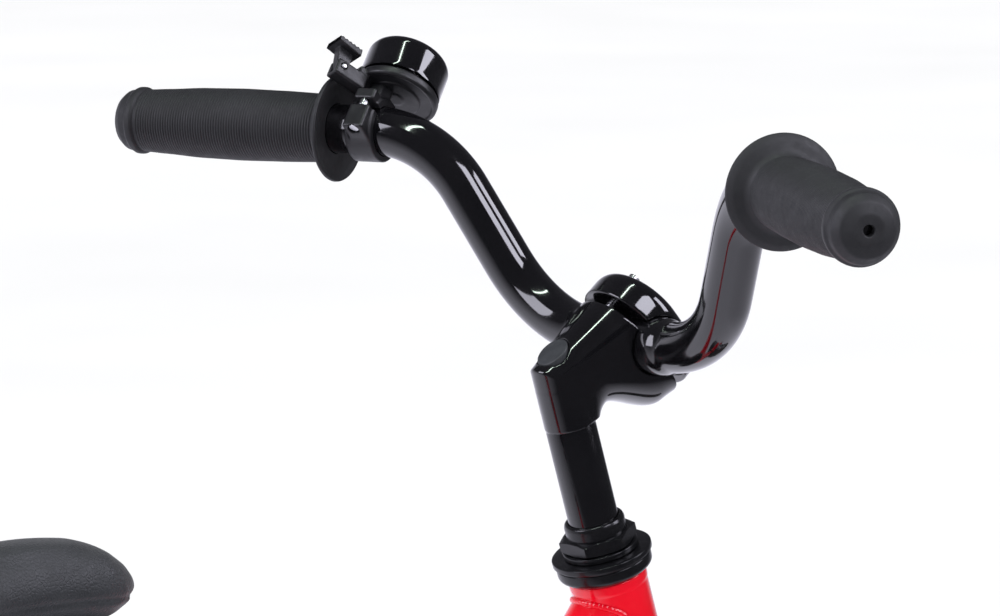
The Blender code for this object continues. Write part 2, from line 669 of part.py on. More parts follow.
def clamp_ring(along, half_width, top, edge, bottom):
    """Round top, upright sides and a round belly, in a plane across the arm."""
    ring = []
    for step in range(13):
        turn = math.pi * step / 12
        ring.append(Vector((along, half_width * math.cos(turn), top - half_width + half_width * math.sin(turn))))
    for step in range(11):
        turn = math.pi + math.pi * step / 10
        ring.append(Vector((along, half_width * math.cos(turn), edge + (edge - bottom) * math.sin(turn))))
    return ring


def arm_shape():
    stations = [ARM_REAR + 0.006 * step for step in range(8)] + [-0.5 * CLAMP_GAP]
    return skin([clamp_ring(along, *arm_section(along)) for along in stations])


def arm_trim():
    """Plan outline that keeps the arm within the quill at the rear and lets it widen forwards."""
    outline = []
    for step in range(13):
        angle = math.radians(95.0 + 170.0 * step / 12)
        outline.append((QUILL_HEAD_RADIUS * math.cos(angle), QUILL_HEAD_RADIUS * math.sin(angle)))
    outline.extend([(0.012, -0.0150), (0.075, -0.0400), (0.075, 0.0400), (0.012, 0.0150)])
    return prism(outline, 0.045, 0.135)


def stem():
    head = solid("stem", arm_shape(), ARM, BLACK_PAINT)
    combine(head, "INTERSECT", solid("stem_arm_trim", arm_trim(), STEER))
    side = QUILL_HEAD_RADIUS - 0.0001
    quill = [(0.0, QUILL_BOTTOM - 0.02), (QUILL_RADIUS, QUILL_BOTTOM - 0.02), (QUILL_RADIUS, QUILL_SEAM)]
    quill += [(side, QUILL_SEAM + 0.0001), (side, 0.083), (0.0, 0.083)]
    combine(head, "UNION", solid("stem_quill", lathe(quill, 24), STEER))
    foot = block((-0.03, -0.03, -0.05), (0.03, 0.03, 0.0))
    combine(head, "DIFFERENCE", solid("stem_foot_cut", foot, slant(0.0)))
    combine(head, "DIFFERENCE", solid("stem_bolt_bore", rod(BOLT_BORE, -0.10, 0.12), STEER))
    combine(head, "DIFFERENCE", solid("stem_plug_bore", rod(PLUG_RADIUS + GAP, 0.082, 0.13, 20), STEER))
    combine(head, "DIFFERENCE", solid("stem_bar_bore", bar_bore(), CLAMP))


def bar_bore():
    points, faces = rod(BAR_CENTRE_RADIUS + GAP, -0.05, 0.05, 24)
    return [Vector((point.y, point.z, point.x)) for point in points], faces


def slant(shift):
    """Placement of the sloping joint between the quill and its wedge."""
    turn = Matrix.Rotation(WEDGE_SLANT, 4, "Y")
    return STEER @ Matrix.Translation((0.0, 0.0, QUILL_BOTTOM + shift)) @ turn


def stem_wedge():
    wedge = solid("stem_wedge", rod(QUILL_RADIUS, WEDGE_BOTTOM, QUILL_BOTTOM + 0.02, 24), STEER, BRIGHT_STEEL)
    cut = solid("wedge_cut", block((-0.04, -0.03, 0.0), (0.04, 0.03, 0.06)), slant(-GAP))
    combine(wedge, "DIFFERENCE", cut)
    combine(wedge, "DIFFERENCE", solid("wedge_bore", rod(BOLT_BORE, -0.12, 0.0), STEER))
    seat = 0.0823
    bolt = [(0.0, WEDGE_BOTTOM + 0.001), (BOLT_RADIUS, WEDGE_BOTTOM + 0.001), (BOLT_RADIUS, seat)]
    bolt += [(0.0065, seat), (0.0065, seat + 0.0075), (0.0, seat + 0.0075)]
    solid("stem_bolt", lathe(bolt, 16), STEER, BRIGHT_STEEL)


def stem_plug():
    """Shallow cap whose top follows the slope of the arm."""
    plug = solid("stem_plug", rod(PLUG_RADIUS, 0.0901, 0.115, 20), STEER, PLUG_PLASTIC)
    level = STEER @ Matrix.Translation((0.0, 0.0, ARM_TOP_AT_AXIS)) @ Matrix.Rotation(-CLAMP_TILT, 4, "Y")
    combine(plug, "DIFFERENCE", solid("plug_top_cut", block((-0.03, -0.03, 0.0), (0.03, 0.03, 0.03)), level))


def stem_cap():
    """Round front half of the clamp with a domed face and two screws whose heads stand proud."""
    rear = 0.5 * CLAMP_GAP
    rings = []
    for share, shrink in ((0.0, 0.0), (0.35, 0.0), (0.62, 0.0012), (0.84, 0.0045), (1.0, 0.0095)):
        along = rear + (CAP_THICKNESS - rear) * share
        rings.append(clamp_ring(along, ARM_HALF_WIDTH + 0.001 - shrink, ARM_TOP + 0.0010 - shrink, -0.0150,
                                ARM_BOTTOM + shrink))
    cap = solid("stem_cap", skin(rings), ARM, BLACK_PAINT)
    combine(cap, "DIFFERENCE", solid("cap_bar_bore", bar_bore(), CLAMP))
    for word, side in (("upper", 1), ("lower", -1)):
        place = ARM @ axes_frame((0.0, 0.0, side * CAP_SCREW_OFFSET), (0.0, 0.0, 1.0), (1.0, 0.0, 0.0))
        shaft = solid(f"cap_screw_hole_{word}", rod(0.0026, -0.020, 0.03), place)
        combine(cap, "DIFFERENCE", shaft)
        combine(cap, "DIFFERENCE", solid(f"cap_screw_recess_{word}", rod(0.0044, 0.0162, 0.03, 14), place))
        combine(bpy.data.objects["stem"], "DIFFERENCE", shaft)
        screw = [(0.0, -0.0185), (0.0023, -0.0185), (0.0023, 0.0165), (0.0040, 0.0165), (0.0040, 0.0210)]
        solid(f"cap_screw_{word}", lathe(screw + [(0.0, 0.0210)], 12), place, BRIGHT_STEEL)


# ---------------------------------------------------------------- handlebar and grips

BAR_LEFT_ALONG = (BAR_END - BAR_ELBOW).normalized()
BAR_LENGTH_PAST_ELBOW = (BAR_END - BAR_ELBOW).length


def bar_line():
    """Centre line of the handlebar, from the right end to the left, with its radius at each point."""
    centre = Vector((CLAMP_AHEAD, 0.0, CLAMP_HEIGHT))
    tip = BAR_ELBOW + BAR_LEFT_ALONG * (BAR_LENGTH_PAST_ELBOW - 0.003)
    half = [Vector((CLAMP_AHEAD, 0.020, CLAMP_HEIGHT))]
    half += corner_arc(centre, BAR_KNEE, BAR_ELBOW, BAR_KNEE_BEND, 6)
    half += rounded_path([BAR_KNEE, BAR_ELBOW, tip], [BAR_ELBOW_BEND], 4)[1:]
    path = [mirrored(point, -1) for point in reversed(half)] + half
    radii = []
    for point in path:
        share = smooth_step((abs(point.y) - BAR_CENTRE_HALF) / 0.008)
        radii.append(BAR_CENTRE_RADIUS + (BAR_RADIUS - BAR_CENTRE_RADIUS) * share)
    return [point - centre for point in path], radii


def handlebar():
    """Rise bar bent twice on each side, thicker where the stem holds it."""
    path, radii = bar_line()
    solid("handlebar", tube(path, radii, BAR_SIDES), CLAMP, BLACK_PAINT)


def grip_frame(side):
    """Origin at the elbow, +Z along the bar to its end."""
    return STEER @ axes_frame(mirrored(BAR_ELBOW, side), (0.0, 0.0, 1.0), mirrored(BAR_LEFT_ALONG, side))


def grip(word, side):
    """Barrel-shaped sleeve with a dished safety disc inside, and a ring and a dome at the end."""
    bore = BAR_RADIUS + GAP
    inner_end = BAR_LENGTH_PAST_ELBOW - 0.003 + GAP
    disc = GRIP_DISC_AT
    end = GRIP_END_AT
    outline = [(bore, disc - 0.0015), (0.0150, disc - 0.0015), (0.0205, disc - 0.0020)]
    outline += [(GRIP_DISC_RADIUS, disc - 0.0032), (GRIP_DISC_RADIUS + 0.0002, disc - 0.0014)]
    outline += [(0.0215, disc + 0.0004), (0.0172, disc + 0.0022)]
    start = disc + 0.0045
    for share, radius in GRIP_BARREL:
        outline.append((radius, start + share * (end - 0.0130 - start)))
    outline += [(0.0155, end - 0.0118), (0.0155, end - 0.0092), (0.0143, end - 0.0080), (0.0137, end - 0.0048)]
    outline += [(0.0110, end - 0.0016), (0.0060, end), (0.0023, end), (0.0023, inner_end), (bore, inner_end)]
    solid(f"grip_{word}", lathe(outline, 18, closed=True), grip_frame(side), GRIP_RUBBER)


# ---------------------------------------------------------------- bell

def bell_frame():
    """Origin on the bar's centre line, +Z along the bell's axis, +X along the bar to its end."""
    return STEER @ axes_frame(BAR_ELBOW + BAR_LEFT_ALONG * BELL_AT, BAR_LEFT_ALONG, BELL_AXIS)


def bell_mounting(frame):
    """Strap round the bar with two ears for its screw, and a faceted post up to the base."""
    along_bar = frame @ axes_frame((0.0, 0.0, 0.0), (0.0, 0.0, 1.0), (1.0, 0.0, 0.0))
    band = solid("bell_clamp", rod(0.0144, -0.0037, 0.0095, 20), along_bar, BLACK_PLASTIC)
    post = hexagon(0.0105, 0.0, BELL_BASE_HEIGHT - GAP)
    combine(band, "UNION", solid("bell_post", post, frame @ Matrix.Translation((0.0025, 0.0055, 0.0))))
    lower_ear = block((-0.0030, 0.0060, -0.0120), (0.0070, 0.0185, 0.0010))
    upper_ear = block((-0.0030, 0.0060, 0.0046), (0.0070, 0.0180, 0.0105))
    split = block((-0.02, 0.0100, 0.0010), (0.02, 0.0300, 0.0046))
    combine(band, "UNION", solid("bell_lower_ear", lower_ear, frame))
    combine(band, "UNION", solid("bell_upper_ear", upper_ear, frame))
    combine(band, "DIFFERENCE", solid("bell_split", split, frame))
    path, radii = bar_line()
    hollow = tube(path, [radius + GAP for radius in radii], BAR_SIDES)
    combine(band, "DIFFERENCE", solid("bell_bar_bore", hollow, CLAMP))
    screw_frame = frame @ Matrix.Translation((0.0020, 0.0155, 0.0))
    combine(band, "DIFFERENCE", solid("bell_screw_hole", rod(0.0018, -0.020, 0.0095, 10), screw_frame))
    combine(band, "DIFFERENCE", solid("bell_screw_sink", rod(0.0026, -0.020, -0.0095, 10), screw_frame))
    screw = [(0.0, -0.0112), (0.0023, -0.0112), (0.0023, -0.0098), (0.0015, -0.0098), (0.0015, 0.0012)]
    screw += [(0.0022, 0.0012), (0.0022, 0.0043), (0.0015, 0.0043), (0.0015, 0.0088), (0.0, 0.0088)]
    solid("bell_clamp_screw", lathe(screw, 10), screw_frame, BRIGHT_STEEL)


def bell_body(frame):
    """Round base with a centre post, and the hollow dome that rests on the post."""
    low = BELL_BASE_HEIGHT
    high = low + BELL_BASE_THICKNESS
    top = high + 0.0012 + DOME_HEIGHT
    base = [(0.0, low), (0.0170, low), (BELL_BASE_RADIUS, low + 0.0015), (BELL_BASE_RADIUS, high - 0.0010)]
    base += [(0.0180, high), (0.0040, high), (0.0040, top - DOME_WALL - GAP), (0.0, top - DOME_WALL - GAP)]
    foot = solid("bell_base", lathe(base, 28), frame, BLACK_PLASTIC)
    bell_bracket(foot, bell_lever_frame(frame))
    edge = high + 0.0012
    outer = DOME_RADIUS
    inner = DOME_RADIUS - DOME_WALL
    dome = [(inner, edge), (outer, edge), (outer, top - 0.0050), (outer - 0.0014, top - 0.0016)]
    dome += [(outer - 0.0050, top), (0.0, top), (0.0, top - DOME_WALL), (outer - 0.0055, top - DOME_WALL)]
    dome += [(inner - 0.0014, top - 0.0032), (inner, top - 0.0064)]
    rings = [circle(radius, height, 28) for radius, height in dome]
    solid("bell_dome", skin(rings, closed=True), frame, BLACK_PAINT)


def bell_bracket(foot, lever_frame):
    """Two cheeks on the base that carry the lever's pin."""
    cheeks = block((-0.0130, -0.0042, -0.0048), (0.0035, 0.0042, 0.0028))
    combine(foot, "UNION", solid("bell_cheeks", cheeks, lever_frame))
    neck = block((-0.0128, -0.0040, 0.0004), (-0.0076, 0.0040, 0.0060))
    combine(foot, "UNION", solid("bell_neck", neck, lever_frame))
    slot = block((-0.0070, -0.0025, -0.0036), (0.02, 0.0025, 0.03))
    combine(foot, "DIFFERENCE", solid("bell_bracket_slot", slot, lever_frame))
    pin_frame = lever_frame @ axes_frame((0.0, 0.0, 0.0), (1.0, 0.0, 0.0), (0.0, 1.0, 0.0))
    combine(foot, "DIFFERENCE", solid("bell_pin_hole", rod(PIN_RADIUS + GAP, -0.01, 0.01, 10), pin_frame))
    solid("bell_lever_pin", rod(PIN_RADIUS, -0.0046, 0.0046, 10), pin_frame, BRIGHT_STEEL)


def bell_lever_frame(frame):
    outward_x = LEVER_PIVOT_RADIUS * math.cos(LEVER_DIRECTION)
    outward_y = LEVER_PIVOT_RADIUS * math.sin(LEVER_DIRECTION)
    place = Matrix.Translation((outward_x, outward_y, LEVER_PIVOT_HEIGHT))
    return frame @ place @ Matrix.Rotation(LEVER_DIRECTION, 4, "Z")


def bell_lever(frame):
    """Rocking thumb lever: a wedge-shaped pad on a narrow web that turns on the pin."""
    lever_frame = bell_lever_frame(frame)
    side_frame = lever_frame @ axes_frame((0.0, 0.0, 0.0), (1.0, 0.0, 0.0), (0.0, -1.0, 0.0))
    web = [(-0.0024, -0.0020), (0.0022, -0.0022), (0.0034, 0.0010), (0.0052, 0.0100), (-0.0030, 0.0095)]
    lever = solid("bell_lever", prism(web, -0.0022, 0.0022), side_frame, BLACK_PLASTIC)
    pad = [(-0.0050, 0.0080), (0.0120, 0.0098), (0.0125, 0.0122), (-0.0046, 0.0115)]
    combine(lever, "UNION", solid("bell_lever_pad", prism(pad, -0.0062, 0.0062), side_frame))
    pin_frame = lever_frame @ axes_frame((0.0, 0.0, 0.0), (1.0, 0.0, 0.0), (0.0, 1.0, 0.0))
    combine(lever, "DIFFERENCE", solid("bell_lever_bore", rod(PIN_RADIUS + GAP, -0.01, 0.01, 10), pin_frame))


def bell_striker(frame):
    """Small hammer on a post inside the dome, turning about the bell's own direction."""
    level = BELL_BASE_HEIGHT + BELL_BASE_THICKNESS + 0.0050
    place = frame @ Matrix.Translation((-0.0085, 0.0, level))
    arm = [(-0.0022, -0.0022), (0.0022, -0.0022), (0.0022, 0.0105), (-0.0022, 0.0105)]
    hammer = solid("bell_striker", prism(arm, 0.0, 0.0016), place, BRIGHT_STEEL)
    weight = place @ Matrix.Translation((0.0, 0.0105, 0.0))
    combine(hammer, "UNION", solid("bell_striker_weight", rod(0.0026, -0.0020, 0.0060, 12), weight))


# ---------------------------------------------------------------- seat post and saddle

def saddle_half_width(share):
    """Half width of the saddle from its tail (0) to its nose (1)."""
    wide = 0.5 * SADDLE_WIDTH
    narrow = 0.5 * SADDLE_NOSE_WIDTH
    taper = wide + (narrow - wide) * smooth_step((share - 0.12) / 0.60)
    tail = math.sqrt(max(0.0, 1.0 - max(0.0, 1.0 - share / 0.20) ** 2.4))
    nose = math.sqrt(max(0.0, 1.0 - max(0.0, (share - 0.87) / 0.13) ** 2.2))
    return taper * (0.32 + 0.68 * tail) * (0.38 + 0.62 * nose)


SADDLE_STATIONS = (0.0, 0.02, 0.06, 0.12, 0.20, 0.30, 0.42, 0.55, 0.68, 0.80, 0.89, 0.95, 0.985, 1.0)


def saddle_line(share):
    """Height of the saddle's top above its middle: raised tail and a slightly dropped nose."""
    return 0.008 * (1.0 - smooth_step(share / 0.5)) - 0.004 * smooth_step((share - 0.75) / 0.25)


def saddle_shape(low, high, inset):
    """Lofted plan shape between two levels under the saddle's top line."""
    tail_x = HEADSET_X - SADDLE_NOSE_BACK - SADDLE_LENGTH
    rings = []
    for share in SADDLE_STATIONS:
        half_width = saddle_half_width(share) - inset
        edge = 1.0 - max(0.0, 1.0 - share / 0.06) ** 2 - max(0.0, (share - 0.93) / 0.07) ** 2
        thickness = (high - low) * (0.42 + 0.58 * edge)
        base = SADDLE_TOP_HEIGHT + saddle_line(share) * 0.6 + low
        length = SADDLE_LENGTH - 2.0 * inset
        rings.append(oval_ring(tail_x + inset + length * share, half_width, base, base + thickness, 0.72, 20))
    return skin(rings)


def saddle():
    solid("saddle_pad", saddle_shape(-PAD_THICKNESS, 0.0, 0.0), WORLD, SADDLE_VINYL)
    shell_high = -PAD_THICKNESS - GAP
    solid("saddle_base", prism_saddle(shell_high - SHELL_THICKNESS, shell_high), WORLD, BLACK_PLASTIC)


def prism_saddle(low, high):
    """Stiff plate under the pad with the saddle's outline, a little smaller."""
    tail_x = HEADSET_X - SADDLE_NOSE_BACK - SADDLE_LENGTH
    inset = 0.008
    length = SADDLE_LENGTH - 2.0 * inset
    sides = []
    for share in SADDLE_STATIONS[1:-1]:
        sides.append((tail_x + inset + length * share, saddle_half_width(share) - inset))
    outline = sides + [(x, -y) for x, y in reversed(sides)]
    rings = []
    for level in (low, high):
        rings.append([Vector((x, y, SADDLE_TOP_HEIGHT + level - 0.003)) for x, y in outline])
    return skin(rings)


def rail_height():
    return SADDLE_TOP_HEIGHT - PAD_THICKNESS - SHELL_THICKNESS - 0.0200


def saddle_rails():
    """One steel rod bent into a hairpin: both ends go up under the tail, the bend under the nose."""
    level = rail_height()
    tail = HEADSET_X - SADDLE_NOSE_BACK - SADDLE_LENGTH
    under = SADDLE_TOP_HEIGHT - PAD_THICKNESS - SHELL_THICKNESS - 0.003 - 2.0 * GAP - RAIL_RADIUS
    left = [
        Vector((tail + 0.034, RAIL_SPREAD + 0.010, under)),
        Vector((tail + 0.062, RAIL_SPREAD, level)),
        Vector((tail + 0.148, RAIL_SPREAD, level)),
        Vector((tail + 0.182, RAIL_SPREAD - 0.010, under)),
        Vector((tail + 0.198, 0.0090, under)),
    ]
    corners = left + [mirrored(point, -1) for point in reversed(left)]
    bends = [0.012, 0.020, 0.012, 0.006, 0.006, 0.012, 0.020, 0.012]
    solid("saddle_rails", tube(rounded_path(corners, bends, 2), RAIL_RADIUS, 8), WORLD, BRIGHT_STEEL)


def clamp_centre():
    """Middle of the saddle clamp, on the seat post's axis and level with the rails."""
    rise = (rail_height() - SEAT_TOP.z) / AXIS_UP.z
    return SEAT_TOP + AXIS_UP * rise


def saddle_clamp():
    """Block across both rails with a socket for the top of the seat post."""
    centre = clamp_centre()
    place = Matrix.Translation(centre)
    body = solid("saddle_clamp", block((-0.0160, -0.0290, -0.0085), (0.0160, 0.0290, 0.0085)), place, SATIN_BLACK)
    socket = solid("clamp_socket", rod(0.0165, -0.0240, 0.0, 20), axes_frame(centre, AXIS_AHEAD, AXIS_UP))
    combine(body, "UNION", socket)
    bore = solid("clamp_post_bore", rod(POST_RADIUS + GAP, -0.040, 0.0010, 24), axes_frame(centre, AXIS_AHEAD, AXIS_UP))
    combine(body, "DIFFERENCE", bore)
    for word, side in (("left", 1), ("right", -1)):
        groove_frame = axes_frame(centre + Vector((0.0, RAIL_SPREAD * side, 0.0)), (0.0, 0.0, 1.0), (1.0, 0.0, 0.0))
        combine(body, "DIFFERENCE", solid(f"clamp_groove_{word}", rod(RAIL_RADIUS + GAP, -0.03, 0.03, 12), groove_frame))
    return centre


def seatpost(centre):
    top = (centre - SEAT_TOP).length
    solid("seatpost", rod(POST_RADIUS, POST_INSIDE, top - 0.0005, 24), SEAT, BRIGHT_STEEL)


# ---------------------------------------------------------------- assembly

def build():
    clear_scene()
    head_tube_set()
    main_tube()
    seat_tube()
    rear_triangle()
    seat_collar()
    seat_lever()
    fork()
    headset_stack()
    for prefix, frame in (("front", FRONT_WHEEL), ("rear", REAR_WHEEL)):
        wheel(prefix, frame)
        axle_set(prefix, frame)
    stem()
    stem_wedge()
    stem_plug()
    stem_cap()
    handlebar()
    grip("left", 1)
    grip("right", -1)
    frame = bell_frame()
    bell_mounting(frame)
    body_frame = frame @ Matrix.Translation(BELL_CENTRE)
    bell_body(body_frame)
    bell_lever(body_frame)
    bell_striker(body_frame)
    saddle()
    saddle_rails()
    seatpost(saddle_clamp())


build()
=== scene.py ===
"""Looks of the balance bike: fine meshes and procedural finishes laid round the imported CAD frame."""

import json
import math

import bmesh
import bpy
import numpy as np
from mathutils import Matrix, Vector, noise

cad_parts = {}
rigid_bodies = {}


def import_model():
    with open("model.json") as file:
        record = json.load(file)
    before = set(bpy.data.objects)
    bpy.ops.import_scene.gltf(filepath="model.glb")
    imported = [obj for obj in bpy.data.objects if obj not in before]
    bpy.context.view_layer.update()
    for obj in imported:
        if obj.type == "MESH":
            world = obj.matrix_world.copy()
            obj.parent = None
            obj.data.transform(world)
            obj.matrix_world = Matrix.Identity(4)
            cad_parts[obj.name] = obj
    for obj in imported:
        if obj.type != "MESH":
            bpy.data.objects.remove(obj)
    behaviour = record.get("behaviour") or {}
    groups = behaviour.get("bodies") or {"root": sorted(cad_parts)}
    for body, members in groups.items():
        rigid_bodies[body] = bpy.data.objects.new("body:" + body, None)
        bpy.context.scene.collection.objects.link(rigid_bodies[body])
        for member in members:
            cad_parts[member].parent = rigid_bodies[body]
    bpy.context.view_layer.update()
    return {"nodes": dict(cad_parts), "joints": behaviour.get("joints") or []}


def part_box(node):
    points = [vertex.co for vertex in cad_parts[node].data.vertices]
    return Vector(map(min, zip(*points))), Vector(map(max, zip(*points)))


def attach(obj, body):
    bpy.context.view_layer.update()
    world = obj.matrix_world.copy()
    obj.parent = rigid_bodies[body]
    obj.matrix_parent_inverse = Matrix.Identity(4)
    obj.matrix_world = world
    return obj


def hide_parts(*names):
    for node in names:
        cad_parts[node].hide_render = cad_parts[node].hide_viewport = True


for leftover in list(bpy.data.objects):
    bpy.data.objects.remove(leftover, do_unlink=True)

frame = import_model()

# Sizes shared with the CAD, in metres
GAP = 0.0003
SIDES = ((1, "left"), (-1, "right"))
HALF_TURN = math.pi
FULL_TURN = 2.0 * math.pi

TYRE_RADIUS = 0.150
TYRE_SECTION = 0.0235
TYRE_SEAT = 0.1018
RIM_HALF_WIDTH = 0.015
RIM_EDGE = 0.1075
RIM_BED = 0.0935
FLANGE_OFFSET = 0.026
FLANGE_RADIUS = 0.022
SPOKES_PER_SIDE = 8
AXLE_RADIUS = 0.005
DROPOUT_INNER = 0.0375
DROPOUT_OUTER = 0.0415

HEAD_TUBE_RADIUS = 0.0172
HEAD_TUBE_TOP = -0.0073
HEAD_TUBE_BOTTOM = -0.0927
STEERER_RADIUS = 0.0127
STEERER_BORE = 0.0114
CROWN_TOP = -0.1046
CROWN_BOTTOM = -0.1270
BLADE_SPACING = 0.0400
FORK_RAKE = 0.028
MAIN_TUBE_RADIUS = 0.0159
MAIN_TUBE_START = -0.0214
MAIN_TUBE_KNEE = Vector((-0.0462, 0.0, -0.0591))
MAIN_TUBE_END = -0.106
MAIN_TUBE_BEND = 0.12
SEAT_TUBE_RADIUS = 0.0143
SEAT_TUBE_LENGTH = 0.145
SEAT_TUBE_TOP = (-0.3445, 0.335)
STAY_RADIUS = 0.0070
POST_RADIUS = 0.0127

SADDLE_LENGTH = 0.222
SADDLE_WIDTH = 0.140
SADDLE_NOSE_WIDTH = 0.050
SADDLE_TOP_HEIGHT = 0.4595
PAD_THICKNESS = 0.034
SHELL_THICKNESS = 0.007
RAIL_RADIUS = 0.0035
RAIL_SPREAD = 0.022

QUILL_RADIUS = 0.0111
QUILL_HEAD_RADIUS = 0.0113
QUILL_SEAM = 0.0640
CLAMP_GAP = 0.0045
CLAMP_TILT = math.radians(23.0)
ARM_HALF_WIDTH = 0.0215
ARM_TOP = 0.0268
ARM_BOTTOM = -0.0295
ARM_REAR_BOTTOM = -0.0090
ARM_REAR = -0.0500
ARM_TOP_AT_AXIS = 0.0985
CAP_THICKNESS = 0.0180
CAP_SCREW_OFFSET = 0.0183
PLUG_RADIUS = 0.0072

BAR_RADIUS = 0.0111
BAR_CENTRE_RADIUS = 0.0127
BAR_CENTRE_HALF = 0.0250
BAR_KNEE_BEND = 0.0569
BAR_ELBOW_BEND = 0.0550
GRIP_DISC_AT = 0.0500
GRIP_DISC_RADIUS = 0.0240
GRIP_END_AT = 0.1612
GRIP_BARREL = ((0.0, 0.0156), (0.22, 0.0162), (0.45, 0.0165), (0.68, 0.0161), (0.88, 0.0150), (1.0, 0.0144))
RIB_PITCH = 0.00137

BELL_AT = 0.0275
BELL_AXIS = Vector((0.807, 0.301, 0.508))
BELL_CENTRE = (-0.0018, -0.0005, 0.0)
BELL_BASE_HEIGHT = 0.0185
BELL_BASE_RADIUS = 0.0198
BELL_BASE_THICKNESS = 0.0045
DOME_RADIUS = 0.0192
DOME_HEIGHT = 0.0200
DOME_WALL = 0.0016
LEVER_DIRECTION = math.radians(55.0)
LEVER_PIVOT_RADIUS = 0.0299
LEVER_PIVOT_HEIGHT = 0.0155
PIN_RADIUS = 0.0013


# ---------------------------------------------------------------- placements

def joint(name):
    return next(row for row in frame["joints"] if row["name"] == name)


def axes_frame(origin, x_axis, z_axis):
    """A placement whose +Z is z_axis and whose +X is as near x_axis as it can be."""
    up = Vector(z_axis).normalized()
    side = up.cross(Vector(x_axis)).normalized()
    matrix = Matrix((side.cross(up), side, up)).transposed().to_4x4()
    matrix.translation = Vector(origin)
    return matrix


AXIS_UP = Vector(joint("steering")["axis"]).normalized()
HEADSET = Vector(joint("steering")["pos_m"])
STEER = axes_frame(HEADSET, (1.0, 0.0, 0.0), AXIS_UP)
AXIS_AHEAD = STEER.to_3x3() @ Vector((1.0, 0.0, 0.0))
FRONT_AXLE = Vector(joint("front_wheel_spin")["pos_m"])
REAR_AXLE = Vector(joint("rear_wheel_spin")["pos_m"])
FRONT_WHEEL = axes_frame(FRONT_AXLE, (1.0, 0.0, 0.0), (0.0, 1.0, 0.0))
REAR_WHEEL = axes_frame(REAR_AXLE, (1.0, 0.0, 0.0), (0.0, 1.0, 0.0))
SEAT_TOP = Vector((HEADSET.x + SEAT_TUBE_TOP[0], 0.0, SEAT_TUBE_TOP[1]))
SEAT = axes_frame(SEAT_TOP, AXIS_AHEAD, AXIS_UP)
BAR_MIDDLE = STEER.inverted() @ Vector(joint("handlebar_roll")["pos_m"])
CLAMP_AHEAD, CLAMP_HEIGHT = BAR_MIDDLE.x, BAR_MIDDLE.z
CLAMP = STEER @ Matrix.Translation(BAR_MIDDLE)
ARM = CLAMP @ Matrix.Rotation(-CLAMP_TILT, 4, "Y")
AXLE_DROP = -(STEER.inverted() @ FRONT_AXLE).z
WORLD = Matrix.Identity(4)

BAR_KNEE = Vector((CLAMP_AHEAD, 0.05778, CLAMP_HEIGHT))
BAR_ELBOW = Vector((0.04114, 0.10755, 0.17398))
BAR_END = Vector((-0.02382, 0.25218, 0.19198))
BAR_ALONG = (BAR_END - BAR_ELBOW).normalized()
BAR_PAST_ELBOW = (BAR_END - BAR_ELBOW).length


def mirrored(point, side):
    return Vector((point[0], point[1] * side, point[2]))


def grip_frame(side):
    """Origin at the handlebar's elbow, +Z along the bar to its end."""
    return STEER @ axes_frame(mirrored(BAR_ELBOW, side), (0.0, 0.0, 1.0), mirrored(BAR_ALONG, side))


BELL = STEER @ axes_frame(BAR_ELBOW + BAR_ALONG * BELL_AT, BAR_ALONG, BELL_AXIS)
BELL_BODY = BELL @ Matrix.Translation(BELL_CENTRE)
LEVER = BELL_BODY @ Matrix.Translation((LEVER_PIVOT_RADIUS * math.cos(LEVER_DIRECTION),
                                   LEVER_PIVOT_RADIUS * math.sin(LEVER_DIRECTION),
                                   LEVER_PIVOT_HEIGHT)) @ Matrix.Rotation(LEVER_DIRECTION, 4, "Z")


# ---------------------------------------------------------------- finishes

def node(tree, kind, values=None, **settings):
    made = tree.nodes.new(kind)
    for name, value in settings.items():
        setattr(made, name, value)
    for name, value in (values or {}).items():
        made.inputs[name].default_value = value
    return made


def texture(tree, coordinates, scale, detail=4.0, roughness=0.55, stretch=(1.0, 1.0, 1.0)):
    """A noise in the piece's own coordinates, stretched along its axes for a brushed look."""
    mapping = node(tree, "ShaderNodeMapping", {"Scale": stretch})
    tree.links.new(coordinates, mapping.inputs["Vector"])
    made = node(tree, "ShaderNodeTexNoise", {"Scale": scale, "Detail": detail, "Roughness": roughness})
    tree.links.new(mapping.outputs["Vector"], made.inputs["Vector"])
    return made.outputs["Fac"]


def remap(tree, value, low, high, from_low=0.3, from_high=0.7):
    made = node(tree, "ShaderNodeMapRange",
                {"From Min": from_low, "From Max": from_high, "To Min": low, "To Max": high})
    tree.links.new(value, made.inputs["Value"])
    return made.outputs["Result"]


def blend_colours(tree, factor, first, second):
    made = node(tree, "ShaderNodeMix", data_type="RGBA")
    colours = [socket for socket in made.inputs if socket.type == "RGBA"]
    for socket, colour in zip(colours, (first, second)):
        if isinstance(colour, tuple):
            socket.default_value = (*colour, 1.0)
        else:
            tree.links.new(colour, socket)
    tree.links.new(factor, made.inputs["Factor"])
    return next(socket for socket in made.outputs if socket.type == "RGBA")


def multiply(tree, first, second):
    made = node(tree, "ShaderNodeMath", operation="MULTIPLY")
    for socket, value in zip(made.inputs, (first, second)):
        if isinstance(value, float):
            socket.default_value = value
        else:
            tree.links.new(value, socket)
    return made.outputs["Value"]


